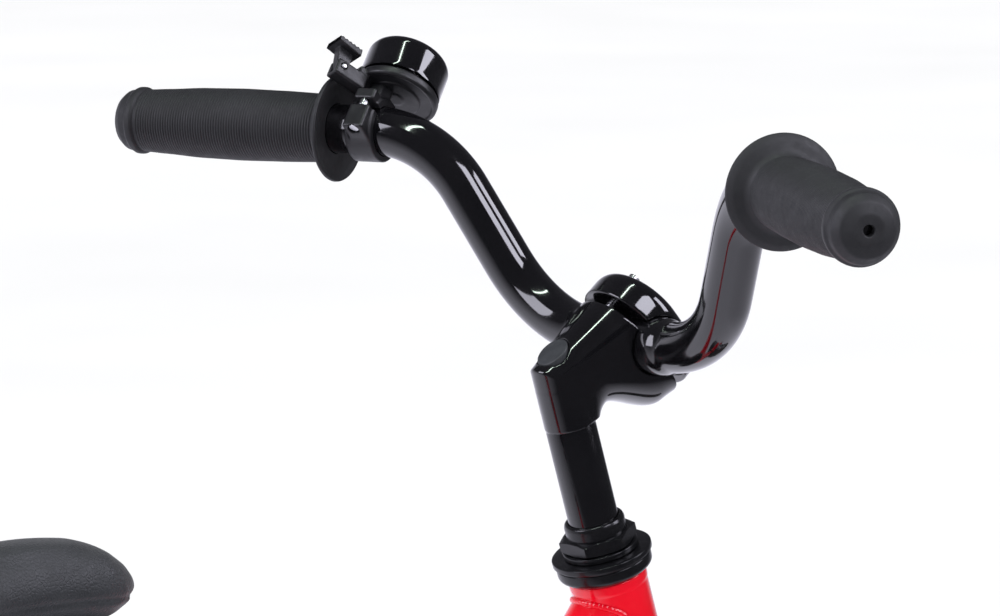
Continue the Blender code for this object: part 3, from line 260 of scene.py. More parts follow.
def finish(name, dark, light, rough, metallic=0.0, patch=35.0, fine=900.0, fine_depth=0.00002, grain=None,
           grain_depth=0.0001, stretch=(1.0, 1.0, 1.0), dust=0.0, dust_colour=(0.35, 0.34, 0.33), wear=0.0,
           wear_colour=(0.30, 0.30, 0.31), sockets=None):
    """Colour patches, fine roughness and bump, optional cell grain, settled dust and worn high edges."""
    material = bpy.data.materials.new(name)
    material.use_nodes = True
    tree = material.node_tree
    shader = tree.nodes["Principled BSDF"]
    for key, value in (sockets or {}).items():
        shader.inputs[key].default_value = value
    shader.inputs["Metallic"].default_value = metallic
    source = node(tree, "ShaderNodeTexCoord")
    place = source.outputs["Object"]
    patches = texture(tree, place, patch, 3.0)
    colour = blend_colours(tree, remap(tree, patches, 0.0, 1.0), dark, light)
    small = texture(tree, place, fine, 3.0, stretch=stretch)
    level = remap(tree, texture(tree, place, patch * 4.0, 4.0, stretch=stretch), rough[0], rough[1])
    if dust > 0.0:
        split = node(tree, "ShaderNodeSeparateXYZ")
        tree.links.new(source.outputs["Normal"], split.inputs["Vector"])
        facing = remap(tree, split.outputs["Z"], 0.0, dust, 0.2, 1.0)
        specks = remap(tree, texture(tree, place, patch * 9.0, 6.0, 0.7), 0.0, 1.0, 0.48, 0.72)
        colour = blend_colours(tree, multiply(tree, facing, specks), colour, dust_colour)
    if wear > 0.0:
        geometry = node(tree, "ShaderNodeNewGeometry")
        edge = remap(tree, geometry.outputs["Pointiness"], 0.0, wear, 0.52, 0.60)
        patchy = remap(tree, texture(tree, place, 180.0, 5.0, 0.7), 0.0, 1.0, 0.42, 0.62)
        colour = blend_colours(tree, multiply(tree, edge, patchy), colour, wear_colour)
    tree.links.new(colour, shader.inputs["Base Color"])
    tree.links.new(level, shader.inputs["Roughness"])
    bump = node(tree, "ShaderNodeBump", {"Strength": 1.0, "Distance": fine_depth})
    tree.links.new(small, bump.inputs["Height"])
    normal = bump.outputs["Normal"]
    if grain:
        cells = node(tree, "ShaderNodeTexVoronoi", {"Scale": grain, "Randomness": 0.9},
                     feature="DISTANCE_TO_EDGE")
        tree.links.new(place, cells.inputs["Vector"])
        wrinkle = node(tree, "ShaderNodeBump", {"Strength": 0.8, "Distance": grain_depth})
        tree.links.new(remap(tree, cells.outputs["Distance"], 0.0, 1.0, 0.0, 0.25), wrinkle.inputs["Height"])
        tree.links.new(normal, wrinkle.inputs["Normal"])
        normal = wrinkle.outputs["Normal"]
    tree.links.new(normal, shader.inputs["Normal"])
    return material


GLOSS = {"IOR": 1.5, "Coat Weight": 0.6, "Coat Roughness": 0.04, "Coat IOR": 1.5}
LOOKS = {
    "black_paint": finish("black_gloss_paint", (0.0030, 0.0030, 0.0042), (0.0060, 0.0058, 0.0072),
                          (0.06, 0.13), patch=22.0,
                          fine=420.0, fine_depth=0.000010, sockets=GLOSS),
    "red_paint": finish("red_gloss_paint", (0.92, 0.0005, 0.011), (1.0, 0.0015, 0.019), (0.09, 0.17),
                        patch=18.0,
                        fine=380.0, fine_depth=0.000012, sockets=GLOSS),
    "satin_black": finish("satin_black_steel", (0.0065, 0.0065, 0.0085), (0.0120, 0.0120, 0.0145),
                          (0.16, 0.27), metallic=0.2,
                          patch=90.0, fine=1500.0, fine_depth=0.000012, dust=0.01, wear=0.05),
    "grip_rubber": finish("grip_rubber", (0.0110, 0.0112, 0.0150), (0.0165, 0.0168, 0.0220), (0.50, 0.68),
                          patch=60.0,
                          fine=2600.0, fine_depth=0.00006, dust=0.03, dust_colour=(0.10, 0.10, 0.11),
                          sockets={"Sheen Weight": 0.03, "Sheen Roughness": 0.5}),
    "tyre_rubber": finish("tyre_rubber", (0.012, 0.012, 0.013), (0.026, 0.026, 0.027), (0.62, 0.85),
                          patch=45.0,
                          fine=1800.0, fine_depth=0.00010, dust=0.25, dust_colour=(0.12, 0.115, 0.10),
                          sockets={"Sheen Weight": 0.2}),
    "black_plastic": finish("moulded_black_plastic", (0.0080, 0.0080, 0.0105), (0.0140, 0.0140, 0.0175),
                            (0.34, 0.48),
                            patch=70.0, fine=2200.0, fine_depth=0.00005, dust=0.02),
    "grey_plastic": finish("moulded_grey_plastic", (0.028, 0.031, 0.038), (0.042, 0.046, 0.055), (0.42, 0.58),
                           patch=150.0, fine=2400.0, fine_depth=0.00006, dust=0.03),
    "saddle_vinyl": finish("saddle_vinyl", (0.018, 0.020, 0.026), (0.028, 0.031, 0.039), (0.46, 0.62),
                           patch=30.0,
                           fine=1300.0, fine_depth=0.00008, grain=620.0, grain_depth=0.00014, dust=0.04,
                           dust_colour=(0.14, 0.145, 0.16), sockets={"Sheen Weight": 0.15}),
    "bright_steel": finish("zinc_plated_steel", (0.46, 0.46, 0.48), (0.66, 0.66, 0.67), (0.18, 0.34),
                           metallic=1.0,
                           patch=120.0, fine=1600.0, fine_depth=0.00003, stretch=(1.0, 1.0, 5.0)),
    "aluminium": finish("brushed_aluminium", (0.48, 0.49, 0.51), (0.62, 0.63, 0.65), (0.26, 0.42),
                        metallic=1.0,
                        patch=60.0, fine=1400.0, fine_depth=0.00003, stretch=(1.0, 1.0, 6.0), dust=0.10),
}


# ---------------------------------------------------------------- pieces

def piece(name, shape, place, look, body, nodes=(), sharp=38.0):
    """A new closed piece that rides on a body and may stand for CAD nodes."""
    points, faces = shape
    mesh = bpy.data.meshes.new(name)
    mesh.from_pydata([tuple(point) for point in points], [], [tuple(face) for face in faces])
    mesh.validate()
    obj = bpy.data.objects.new(name, mesh)
    bpy.context.scene.collection.objects.link(obj)
    obj.matrix_world = place
    return dress(obj, look, body, nodes, sharp)


def dress(obj, look, body, nodes=(), sharp=38.0):
    obj.data.materials.clear()
    obj.data.materials.append(LOOKS[look])
    obj.data.shade_smooth()
    obj.data.set_sharp_from_angle(angle=math.radians(sharp))
    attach(obj, body)
    if nodes:
        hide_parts(*nodes)
    return obj


def temporary(shape, place):
    points, faces = shape
    mesh = bpy.data.meshes.new("tool")
    mesh.from_pydata([tuple(point) for point in points], [], [tuple(face) for face in faces])
    obj = bpy.data.objects.new("tool", mesh)
    bpy.context.scene.collection.objects.link(obj)
    obj.matrix_world = place
    return obj


def settle(obj):
    """Make the modifiers' result the object's own mesh."""
    graph = bpy.context.evaluated_depsgraph_get()
    mesh = bpy.data.meshes.new_from_object(obj.evaluated_get(graph))
    obj.modifiers.clear()
    obj.data = mesh
    return obj


def carve(obj, shape, place, operation="DIFFERENCE"):
    tool = temporary(shape, place)
    modifier = obj.modifiers.new("cut", "BOOLEAN")
    modifier.operation = operation
    modifier.object = tool
    modifier.solver = "EXACT"
    settle(obj)
    bpy.data.objects.remove(tool, do_unlink=True)
    return obj


def refined(node_name, look, body, width=0.0005, segments=2, angle=38.0):
    """The CAD node's own shape with its hard edges rounded off."""
    mesh = frame["nodes"][node_name].data.copy()
    shape = bmesh.new()
    shape.from_mesh(mesh)
    bmesh.ops.remove_doubles(shape, verts=shape.verts, dist=2e-6)
    bmesh.ops.dissolve_limit(shape, angle_limit=math.radians(1.0), verts=shape.verts, edges=shape.edges)
    shape.to_mesh(mesh)
    shape.free()
    obj = bpy.data.objects.new(f"{node_name}_rounded", mesh)
    bpy.context.scene.collection.objects.link(obj)
    bevel = obj.modifiers.new("round", "BEVEL")
    bevel.width = width
    bevel.segments = segments
    bevel.limit_method = "ANGLE"
    bevel.angle_limit = math.radians(angle)
    bevel.use_clamp_overlap = True
    settle(obj)
    return dress(obj, look, body, (node_name,), angle)


# ---------------------------------------------------------------- shapes as (points, faces)

def outward(points, faces):
    """Turn every face round if the shell's signed volume is negative."""
    volume = 0.0
    for face in faces:
        first = points[face[0]]
        for second, third in zip(face[1:], face[2:]):
            volume += first.dot(points[second].cross(points[third]))
    if volume >= 0.0:
        return faces
    return [tuple(reversed(face)) for face in faces]


def skin(rings, closed=False):
    """Join rings of points into one outward-facing shell; a ring of one point is a tip."""
    points, spans, faces = [], [], []
    for ring in rings:
        spans.append(range(len(points), len(points) + len(ring)))
        points.extend(Vector(point) for point in ring)
    pairs = list(zip(spans, spans[1:]))
    if closed:
        pairs.append((spans[-1], spans[0]))
    for low, high in pairs:
        count = max(len(low), len(high))
        for step in range(count):
            after = (step + 1) % count
            if len(low) == 1 and len(high) > 1:
                faces.append((low[0], high[after], high[step]))
            elif len(high) == 1 and len(low) > 1:
                faces.append((low[step], low[after], high[0]))
            elif len(low) > 1:
                faces.append((low[step], low[after], high[after], high[step]))
    if not closed:
        if len(spans[0]) > 1:
            faces.append(tuple(reversed(spans[0])))
        if len(spans[-1]) > 1:
            faces.append(tuple(spans[-1]))
    return points, outward(points, faces)


def circle(radius, height, sides, phase=0.0):
    if radius == 0.0:
        return [Vector((0.0, 0.0, height))]
    turns = (phase + FULL_TURN * step / sides for step in range(sides))
    return [Vector((radius * math.cos(turn), radius * math.sin(turn), height)) for turn in turns]


def lathe(outline, sides=72, closed=False, phase=0.0):
    """Revolve (radius, height) points round +Z; a closed outline makes a ring with a bore."""
    return skin([circle(radius, height, sides, phase) for radius, height in outline], closed)


def softened(outline, size, steps=3, closed=False):
    """Round every corner of a flat outline with an arc-like curve of the given size."""
    result = []
    count = len(outline)
    for index, corner in enumerate(outline):
        if not closed and index in (0, count - 1):
            result.append(tuple(corner))
            continue
        here = Vector(corner)
        before = Vector(outline[index - 1])
        after = Vector(outline[(index + 1) % count])
        reach = min(size, 0.45 * (before - here).length, 0.45 * (after - here).length)
        start = here + (before - here).normalized() * reach
        end = here + (after - here).normalized() * reach
        for step in range(steps + 1):
            share = step / steps
            point = start * (1 - share) ** 2 + here * (2 * share * (1 - share)) + end * share ** 2
            result.append((point.x, point.y))
    return result


def turned(outline, size=0.0005, sides=72, closed=False):
    """A lathe shape with softened corners."""
    return lathe(softened(outline, size, closed=closed), sides, closed)


def sleeve(bore, radius, low, high, sides=72, round_off=0.0003):
    return turned([(bore, low), (radius, low), (radius, high), (bore, high)], round_off, sides, closed=True)


def prism(outline, low, high):
    return skin([[Vector((x, y, height)) for x, y in outline] for height in (low, high)])


def block(low, high):
    outline = [(low[0], low[1]), (high[0], low[1]), (high[0], high[1]), (low[0], high[1])]
    return prism(outline, low[2], high[2])


def corner_arc(before, corner, after, bend, steps):
    towards = (before - corner).normalized()
    away = (after - corner).normalized()
    half = 0.5 * towards.angle(away)
    centre = corner + (towards + away).normalized() * (bend / math.sin(half))
    reach = bend / math.tan(half)
    start = corner + towards * reach - centre
    end = corner + away * reach - centre
    sweep = start.angle(end)
    arc = []
    for step in range(steps + 1):
        share = step / steps
        mixed = start * math.sin((1.0 - share) * sweep) + end * math.sin(share * sweep)
        arc.append(centre + mixed / math.sin(sweep))
    return arc


def rounded_path(corners, bends, steps=18):
    path = [Vector(corners[0])]
    for before, corner, after, bend in zip(corners, corners[1:], corners[2:], bends):
        path.extend(corner_arc(Vector(before), Vector(corner), Vector(after), bend, steps))
    path.append(Vector(corners[-1]))
    return path


def filled_in(path, spacing):
    """The path with its long straight stretches divided."""
    result = [path[0]]
    for start, end in zip(path, path[1:]):
        parts = max(1, math.ceil((end - start).length / spacing))
        result.extend(start.lerp(end, step / parts) for step in range(1, parts + 1))
    return result


def tube(path, radii, sides=40, closed=False):
    """Sweep a circle along a path without twist; radii is one value or one for each point."""
    if not isinstance(radii, (list, tuple)):
        radii = [radii] * len(path)
    count = len(path)
    across = None
    rings = []
    for index, point in enumerate(path):
        before = path[index - 1] if closed or index else path[0]
        after = path[(index + 1) % count] if closed or index + 1 < count else path[-1]
        tangent = (after - before).normalized()
        across = tangent.orthogonal() if across is None else across
        across = (across - tangent * across.dot(tangent)).normalized()
        third = tangent.cross(across)
        ring = []
        for step in range(sides):
            turn = FULL_TURN * step / sides
            ring.append(point + (across * math.cos(turn) + third * math.sin(turn)) * radii[index])
        rings.append(ring)
    return skin(rings, closed)


def joined(*shapes):
    points, faces = [], []
    for more_points, more_faces in shapes:
        start = len(points)
        points.extend(more_points)
        faces.extend(tuple(index + start for index in face) for face in more_faces)
    return points, faces


def smooth_step(value):
    value = min(max(value, 0.0), 1.0)
    return value * value * (3.0 - 2.0 * value)


# ---------------------------------------------------------------- shapes from distance fields

def smooth_min(first, second, size):
    share = np.maximum(size - np.abs(first - second), 0.0) / size
    return np.minimum(first, second) - share * share * size * 0.25


def smooth_max(first, second, size):
    return -smooth_min(-first, -second, size)


def ramp(value):
    value = np.clip(value, 0.0, 1.0)
    return value * value * (3.0 - 2.0 * value)


def box_field(x, y, z, low, high, soften):
    """Distance to a box whose edges are rounded by soften."""
    sides = []
    for value, start, end in zip((x, y, z), low, high):
        sides.append(np.abs(value - 0.5 * (start + end)) - (0.5 * (end - start) - soften))
    outside = np.sqrt(sum(np.maximum(side, 0.0) ** 2 for side in sides))
    inside = np.minimum(np.maximum(np.maximum(sides[0], sides[1]), sides[2]), 0.0)
    return outside + inside - soften


def rod_field(first, second, along, radius, low, high, soften):
    across = np.hypot(first, second) - radius + soften
    ends = np.abs(along - 0.5 * (low + high)) - 0.5 * (high - low) + soften
    outside = np.hypot(np.maximum(across, 0.0), np.maximum(ends, 0.0))
    return outside + np.minimum(np.maximum(across, ends), 0.0) - soften


def net(field, low, high, cell, rounds=3):
    """Quads over the zero surface of a field, with the points drawn onto the surface."""
    axes = [np.arange(start - 1.5 * cell, end + 2.5 * cell, cell) for start, end in zip(low, high)]
    inside = field(*np.meshgrid(*axes, indexing="ij")) < 0.0
    corners = np.stack([inside[i:inside.shape[0] - 1 + i, j:inside.shape[1] - 1 + j,
                               k:inside.shape[2] - 1 + k]
                        for i in (0, 1) for j in (0, 1) for k in (0, 1)])
    mixed = corners.any(0) & ~corners.all(0)
    index = -np.ones(mixed.shape, dtype=np.int64)
    index[mixed] = np.arange(mixed.sum())
    cells = np.argwhere(mixed)
    points = np.stack([axes[axis][cells[:, axis]] + 0.5 * cell for axis in range(3)], axis=1)
    faces = []
    for axis in range(3):
        order = (axis, (axis + 1) % 3, (axis + 2) % 3)
        turned_inside = inside.transpose(order)
        turned_index = index.transpose(order)
        here, there = turned_inside[:-1, 1:-1, 1:-1], turned_inside[1:, 1:-1, 1:-1]
        for leaving in (True, False):
            i, j, k = np.nonzero((here != there) & (here == leaving))
            quad = [turned_index[i, j, k], turned_index[i, j + 1, k], turned_index[i, j + 1, k + 1],
                    turned_index[i, j, k + 1]]
            faces.append(np.stack(quad if leaving else quad[::-1], axis=1))
    faces = np.concatenate(faces)
    for turn in range(rounds):
        points = drawn_on(field, points, cell)
        if turn < rounds - 1:
            points = relaxed(points, faces)
    return [Vector(point) for point in points], [tuple(int(corner) for corner in face) for face in faces]


def drawn_on(field, points, cell):
    step = 0.02 * cell
    for _ in range(5):
        value = field(*points.T)
        slope = []
        for axis in range(3):
            ahead = points.copy()
            ahead[:, axis] += step
            slope.append((field(*ahead.T) - value) / step)
        slope = np.stack(slope, axis=1)
        size = np.maximum((slope ** 2).sum(1), 0.05)
        points = points - np.clip(value / size, -cell, cell)[:, None] * slope
    return points


def relaxed(points, faces):
    total = np.zeros_like(points)
    count = np.zeros(len(points))
    for first, second in ((0, 1), (1, 2), (2, 3), (3, 0)):
        for start, end in ((first, second), (second, first)):
            np.add.at(total, faces[:, start], points[faces[:, end]])
            np.add.at(count, faces[:, start], 1.0)
    return 0.5 * points + 0.5 * total / count[:, None]


# ---------------------------------------------------------------- camera, light and floor

def studio():
    floor = temporary(([Vector((-30, -30, 0)), Vector((30, -30, 0)), Vector((30, 30, 0)),
                        Vector((-30, 30, 0))],
                       [(0, 1, 2, 3)]), WORLD)
    floor.name = "floor"
    pale = finish("pale_floor", (0.86, 0.86, 0.86), (0.90, 0.90, 0.90), (0.75, 0.9), patch=0.5, fine=30.0)
    floor.data.materials.append(pale)
    floor.visible_glossy = False
    world = bpy.context.scene.world or bpy.data.worlds.new("studio")
    bpy.context.scene.world = world
    world.use_nodes = True
    tree = world.node_tree
    backdrop = tree.nodes["Background"]
    backdrop.inputs["Color"].default_value = (0.98, 0.985, 1.0, 1.0)
    backdrop.inputs["Strength"].default_value = 0.92
    dim = node(tree, "ShaderNodeBackground", {"Color": (0.88, 0.87, 1.0, 1.0)})
    direction = node(tree, "ShaderNodeTexCoord")
    toward = node(tree, "ShaderNodeVectorMath", operation="DOT_PRODUCT")
    toward.inputs[1].default_value = BRIGHT_SIDE
    tree.links.new(direction.outputs["Generated"], toward.inputs[0])
    tree.links.new(remap(tree, toward.outputs["Value"], 0.08, 1.15, 0.10, 0.66), dim.inputs["Strength"])
    rays = node(tree, "ShaderNodeLightPath")
    share = node(tree, "ShaderNodeMixShader")
    tree.links.new(rays.outputs["Is Glossy Ray"], share.inputs["Fac"])
    tree.links.new(backdrop.outputs["Background"], share.inputs[1])
    tree.links.new(dim.outputs["Background"], share.inputs[2])
    tree.links.new(share.outputs["Shader"], tree.nodes["World Output"].inputs["Surface"])
    bpy.context.scene.view_settings.view_transform = "Standard"
    for name, place, size, power, colour in SOFTBOXES:
        lamp = bpy.data.lights.new(name, "AREA")
        lamp.shape = "RECTANGLE"
        lamp.size, lamp.size_y = size
        lamp.energy = power
        lamp.color = colour
        aimed(lamp, place).visible_diffuse = False
    sun = bpy.data.lights.new("overhead_light", "SUN")
    sun.energy = 1.1
    sun.angle = math.radians(40.0)
    aimed(sun, (-1.0, 0.6, 3.0)).visible_glossy = False


def aimed(lamp, place):
    """A lamp at a place, pointed at the handlebar."""
    obj = bpy.data.objects.new(lamp.name, lamp)
    bpy.context.scene.collection.objects.link(obj)
    obj.location = place
    obj.rotation_mode = "QUATERNION"
    obj.rotation_quaternion = (LIT_POINT - Vector(place)).to_track_quat("-Z", "Y")
    return obj


LIT_POINT = Vector((0.15, 0.0, 0.50))
LAVENDER = (0.88, 0.87, 1.0)
BRIGHT_SIDE = (0.0, 0.6, -0.8)
SOFTBOXES = (
    ("overhead_strip", (-0.60, -0.15, 3.40), (0.11, 2.6), 26.0, (0.84, 1.0, 0.88)),
    ("front_softbox", (0.25, -2.30, 2.45), (1.1, 1.5), 46.0, LAVENDER),
    ("right_softbox", (2.05, -1.85, 2.05), (1.0, 1.7), 44.0, LAVENDER),
    ("left_softbox", (-2.75, 0.80, 1.90), (1.5, 2.2), 60.0, LAVENDER),
)
CAMERA_PLACE = Vector((-1.0691, -1.5123, 0.8160))
CAMERA_RIGHT = Vector((0.7849, -0.6197, 0.0001))
CAMERA_DOWN = Vector((-0.0907, -0.1151, -0.9892))
CAMERA_LENS = 164.47


def camera():
    data = bpy.data.cameras.new("camera")
    data.lens = CAMERA_LENS
    data.sensor_width = 36.0
    data.clip_start, data.clip_end = 0.05, 100.0
    obj = bpy.data.objects.new("camera", data)
    bpy.context.scene.collection.objects.link(obj)
    up = -CAMERA_DOWN.normalized()
    right = (CAMERA_RIGHT - up * CAMERA_RIGHT.dot(up)).normalized()
    matrix = Matrix((right, up, right.cross(up))).transposed().to_4x4()
    matrix.translation = CAMERA_PLACE
    obj.matrix_world = matrix
    bpy.context.scene.camera = obj


# ---------------------------------------------------------------- wheels

TYRE_STEPS = 432
TREAD_DEPTH = 0.0011


def tread(turn, across):
    """How far the tread stands down at a turn round the tyre and a degree across its crown."""
    centre_rib = 1.0 - abs(across) / 9.0
    wave = math.sin(36.0 * turn + (0.6 if across > 0 else 2.2)) * 5.0
    middle = smooth_step((abs(abs(across + wave * 0.5) - 18.0) - 1.6) / 2.2)
    cross = smooth_step((abs(math.sin(36.0 * turn + 0.055 * abs(across))) - 0.16) / 0.22)
    if centre_rib > 0.0:
        return middle
    return middle * (cross if abs(across) < 66.0 else 1.0)


def tyre_shape():
    centre = TYRE_RADIUS - TYRE_SECTION
    inside = RIM_HALF_WIDTH - 0.0028
    profile = [(TYRE_SEAT, -inside, None), (RIM_EDGE, -inside, None)]
    degrees = [-50.0, -44.0, -38.0, -32.0, -26.0] + [float(d) for d in range(-20, 201, 3)] + [206.0, 212.0,
            218.0, 224.0, 230.0]
    for degree in degrees:
        profile.append((None, None, degree))
    profile += [(RIM_EDGE, inside, None), (TYRE_SEAT, inside, None)]
    rings = []
    for step in range(TYRE_STEPS):
        turn = FULL_TURN * step / TYRE_STEPS
        ring = []
        for radius, offset, degree in profile:
            if degree is not None:
                depth = 0.0
                across = degree - 90.0
                if abs(across) < 72.0:
                    depth = TREAD_DEPTH * (1.0 - tread(turn,
                                                       across)) * smooth_step((72.0 - abs(across)) / 6.0)
                elif abs(across) > 92.0:
                    depth = 0.00025 * (1.0 - math.cos(math.radians((abs(across) - 92.0) * 36.0)))
                angle = math.radians(degree)
                radius = centre + (TYRE_SECTION - depth) * math.sin(angle)
                offset = -(TYRE_SECTION - depth) * math.cos(angle)
            ring.append(Vector((radius * math.cos(turn), radius * math.sin(turn), offset)))
        rings.append(ring)
    return skin(rings, closed=True)


def rim_shape():
    half = RIM_HALF_WIDTH
    outline = [
        (RIM_EDGE, half), (RIM_EDGE, half - 0.0024), (TYRE_SEAT - GAP, half - 0.0024),
        (TYRE_SEAT - 0.0030, half * 0.45),
        (TYRE_SEAT - 0.0030, -half * 0.45), (TYRE_SEAT - GAP, -half + 0.0024), (RIM_EDGE, -half + 0.0024),
        (RIM_EDGE, -half), (RIM_BED + 0.0040, -half * 0.95), (RIM_BED, -half * 0.40), (RIM_BED, half * 0.40),
        (RIM_BED + 0.0040, half * 0.95),
    ]
    return turned(outline, 0.0008, 160, closed=True)


def spoke_side_shape(side):
    """Hub flange with its spoke holes' swell, the spokes and a nipple on each at the rim."""
    low = side * FLANGE_OFFSET - 0.0015
    bore = 0.0126
    shapes = [turned([(bore, low), (FLANGE_RADIUS, low), (FLANGE_RADIUS, low + 0.0030),
                      (bore, low + 0.0030)], 0.0006, 72,
                     closed=True)]
    for index in range(SPOKES_PER_SIDE):
        turn = FULL_TURN * (index + 0.25 * (1 + side)) / SPOKES_PER_SIDE
        across = Vector((math.cos(turn), math.sin(turn), 0.0))
        inner = across * (FLANGE_RADIUS - 0.004) + Vector((0.0, 0.0, side * FLANGE_OFFSET))
        outer = across * (RIM_BED - GAP) + Vector((0.0, 0.0, side * 0.003))
        out = Vector((0.0, 0.0, side * 0.0022))
        shapes.append(tube([inner + out, inner + out * 0.6 + across * 0.0012, inner + across * 0.0030,
                            outer], 0.0010, 14))
        shapes.append(tube([inner + out * 0.95, inner + out * 1.15, inner + out * 1.4],
                           [0.0019, 0.0018, 0.0009], 14))
        along = (outer - inner).normalized()
        nipple = [outer - along * 0.0115, outer - along * 0.0110, outer - along * 0.0040,
                  outer - along * 0.0032, outer]
        shapes.append(tube(nipple, [0.0013, 0.0019, 0.0019, 0.0023, 0.0023], 14))
    return joined(*shapes)


def hub_shape():
    outline = [(0.0053, -0.0368), (0.0090, -0.0368), (0.0094, -0.0325), (0.0120, -0.0300), (0.0120, -0.0222),
               (0.0108, -0.0205), (0.0100, 0.0), (0.0108, 0.0205), (0.0120, 0.0222), (0.0120, 0.0300),
               (0.0094, 0.0325), (0.0090, 0.0368), (0.0053, 0.0368)]
    return turned(outline, 0.0009, 72, closed=True)


def valve_shape():
    top = RIM_BED - GAP
    outline = [(0.0, top - 0.0260), (0.0024, top - 0.0260), (0.0036, top - 0.0250)]
    for step in range(6):
        low = top - 0.0240 + step * 0.0015
        outline += [(0.0036, low), (0.0033, low + 0.0005), (0.0036, low + 0.0010)]
    outline += [(0.0036, top - 0.0146), (0.0026, top - 0.0140), (0.0026, top - 0.0040), (0.0034, top),
                (0.0, top)]
    return turned(outline, 0.0003, 32)


def wheel(prefix, place):
    body = f"{prefix}_wheel"
    piece(f"{prefix}_tyre_treaded", tyre_shape(), place, "tyre_rubber", body, (f"{prefix}_tyre",), 50.0)
    piece(f"{prefix}_rim_smooth", rim_shape(), place, "aluminium", body, (f"{prefix}_rim",))
    piece(f"{prefix}_hub_turned", hub_shape(), place, "aluminium", body, (f"{prefix}_hub",))
    for side, word in SIDES:
        piece(f"{prefix}_spokes_{word}_laced", spoke_side_shape(side), place, "bright_steel", body,
              (f"{prefix}_spokes_{word}",))
    turn = FULL_TURN * 1.25 / SPOKES_PER_SIDE
    valve_place = place @ axes_frame((0.0, 0.0, 0.0), (0.0, 0.0, 1.0), (math.cos(turn), math.sin(turn), 0.0))
    piece(f"{prefix}_valve_capped", valve_shape(), valve_place, "black_plastic", body, (f"{prefix}_valve",))


def threaded(radius, low, high, pitch, depth):
    """Ring-grooved outline of a threaded end, from low to high."""
    outline = []
    along = low
    while along + pitch <= high:
        outline += [(radius, along + 0.1 * pitch), (radius, along + 0.4 * pitch),
                    (radius - depth, along + 0.75 * pitch)]
        along += pitch
    return outline + [(radius, high)]


def axle_set(prefix, place, body):
    reach = 0.0560
    start = DROPOUT_OUTER + 0.004
    half = threaded(AXLE_RADIUS, start, reach - 0.0008, 0.00125, 0.0005)
    outline = [(0.0, -reach), (AXLE_RADIUS - 0.0008, -reach)] + [(radius, -along) for radius,
                                                                 along in reversed(half)]
    outline += half + [(AXLE_RADIUS - 0.0008, reach), (0.0, reach)]
    piece(f"{prefix}_axle_threaded", lathe(outline, 40), place, "bright_steel", body, (f"{prefix}_axle",),
          60.0)
    for side, word in SIDES:
        name = f"{prefix}_nut_{word}"
        piece(f"{name}_chamfered", nut_shape(), place @ flip(side), "bright_steel", body, (name,), 30.0)


def flip(side):
    return Matrix.Identity(4) if side > 0 else Matrix.Rotation(HALF_TURN, 4, "X")


def hex_rings(across_flats, low, high, chamfer=0.0010):
    """Sections of a hexagon whose corners are turned off by a cone at both ends."""
    corner = across_flats / math.sqrt(3.0)
    rings = []
    levels = [(low, across_flats * 0.5 - 0.0001), (low + chamfer, corner), (high - chamfer, corner),
              (high, across_flats * 0.5 - 0.0001)]
    fine = []
    for (start, first), (end, second) in zip(levels, levels[1:]):
        for step in range(5):
            share = step / 5
            fine.append((start + (end - start) * share, first + (second - first) * share))
    fine.append(levels[-1])
    for height, limit in fine:
        ring = []
        for step in range(72):
            turn = FULL_TURN * step / 72
            bend = (turn + HALF_TURN / 6.0) % (HALF_TURN / 3.0) - HALF_TURN / 6.0
            flat = 0.5 * across_flats / math.cos(bend)
            radius = min(flat, limit)
            ring.append(Vector((radius * math.cos(turn), radius * math.sin(turn), height)))
        rings.append(ring)
    return rings


def nut_shape():
    """Hexagon nut with its washer face, as one shell round the axle's bore."""
    low = DROPOUT_OUTER + GAP
    high = low + 0.0095
    bore = AXLE_RADIUS + GAP
    rings = [circle(radius, low + height, 72) for radius, height in
             ((0.0096, 0.0), (0.0100, 0.0004), (0.0100, 0.0012), (0.0097, 0.0015))]
    rings += hex_rings(0.015, low + 0.0016, high)
    rings += [circle(bore + 0.0004, high, 72), circle(bore, high - 0.0004, 72), circle(bore, low, 72)]
    return skin(rings, closed=True)


# ---------------------------------------------------------------- frame

def junction_ring(radius_a, place_a, path_point, direction, radius_b, count=140):
    """Points where a tube of radius_b, going along direction through path_point, meets the cylinder a."""
    into = place_a.inverted()
    origin = into @ path_point
    way = (into.to_3x3() @ direction).normalized()
    first = way.orthogonal().normalized()
    second = way.cross(first)
    ring = []
    for step in range(count):
        turn = FULL_TURN * step / count
        start = origin + (first * math.cos(turn) + second * math.sin(turn)) * radius_b
        a = way.x ** 2 + way.y ** 2
        b = 2.0 * (start.x * way.x + start.y * way.y)
        c = start.x ** 2 + start.y ** 2 - radius_a ** 2
        root = max(0.0, b * b - 4.0 * a * c)
        ring.append(place_a @ (start + way * ((-b + math.sqrt(root)) / (2.0 * a))))
    return ring


WELD_RIPPLE = 0.0026
HEAD_WELD = 0.0015
SEAT_WELD = 0.0013
TUBE_OVERLAP = 0.0006
CUT_TOP = 0.02
HEAD_CUT_BOTTOM = -0.12
SEAT_CUT_BOTTOM = -0.17


def weld(name, ring, body, size):
    """A run of overlapping weld ripples along a closed ring of points."""
    count = len(ring)
    length = sum((ring[index] - ring[index - 1]).length for index in range(count))
    ripples = max(8, round(length / WELD_RIPPLE))
    dense = []
    for index in range(count):
        for step in range(4):
            dense.append(ring[index].lerp(ring[(index + 1) % count], step / 4))
    radii = []
    for index, point in enumerate(dense):
        phase = (ripples * index / len(dense)) % 1.0
        radii.append(size * (0.86 + 0.16 * math.sqrt(max(0.0, 1.0 - (2.0 * phase - 1.0) ** 2))
                             + 0.06 * noise.noise(point * 240.0)))
    return piece(name, tube(dense, radii, 12, closed=True), WORLD, "red_paint", body, (), 60.0)


def carve_round(pipe, radius, low, place):
    """Cut off what a pipe has inside the round tube that it is welded to."""
    reach = radius - TUBE_OVERLAP
    carve(pipe, lathe([(0.0, low), (reach, low), (reach, CUT_TOP), (0.0, CUT_TOP)], 96), place)


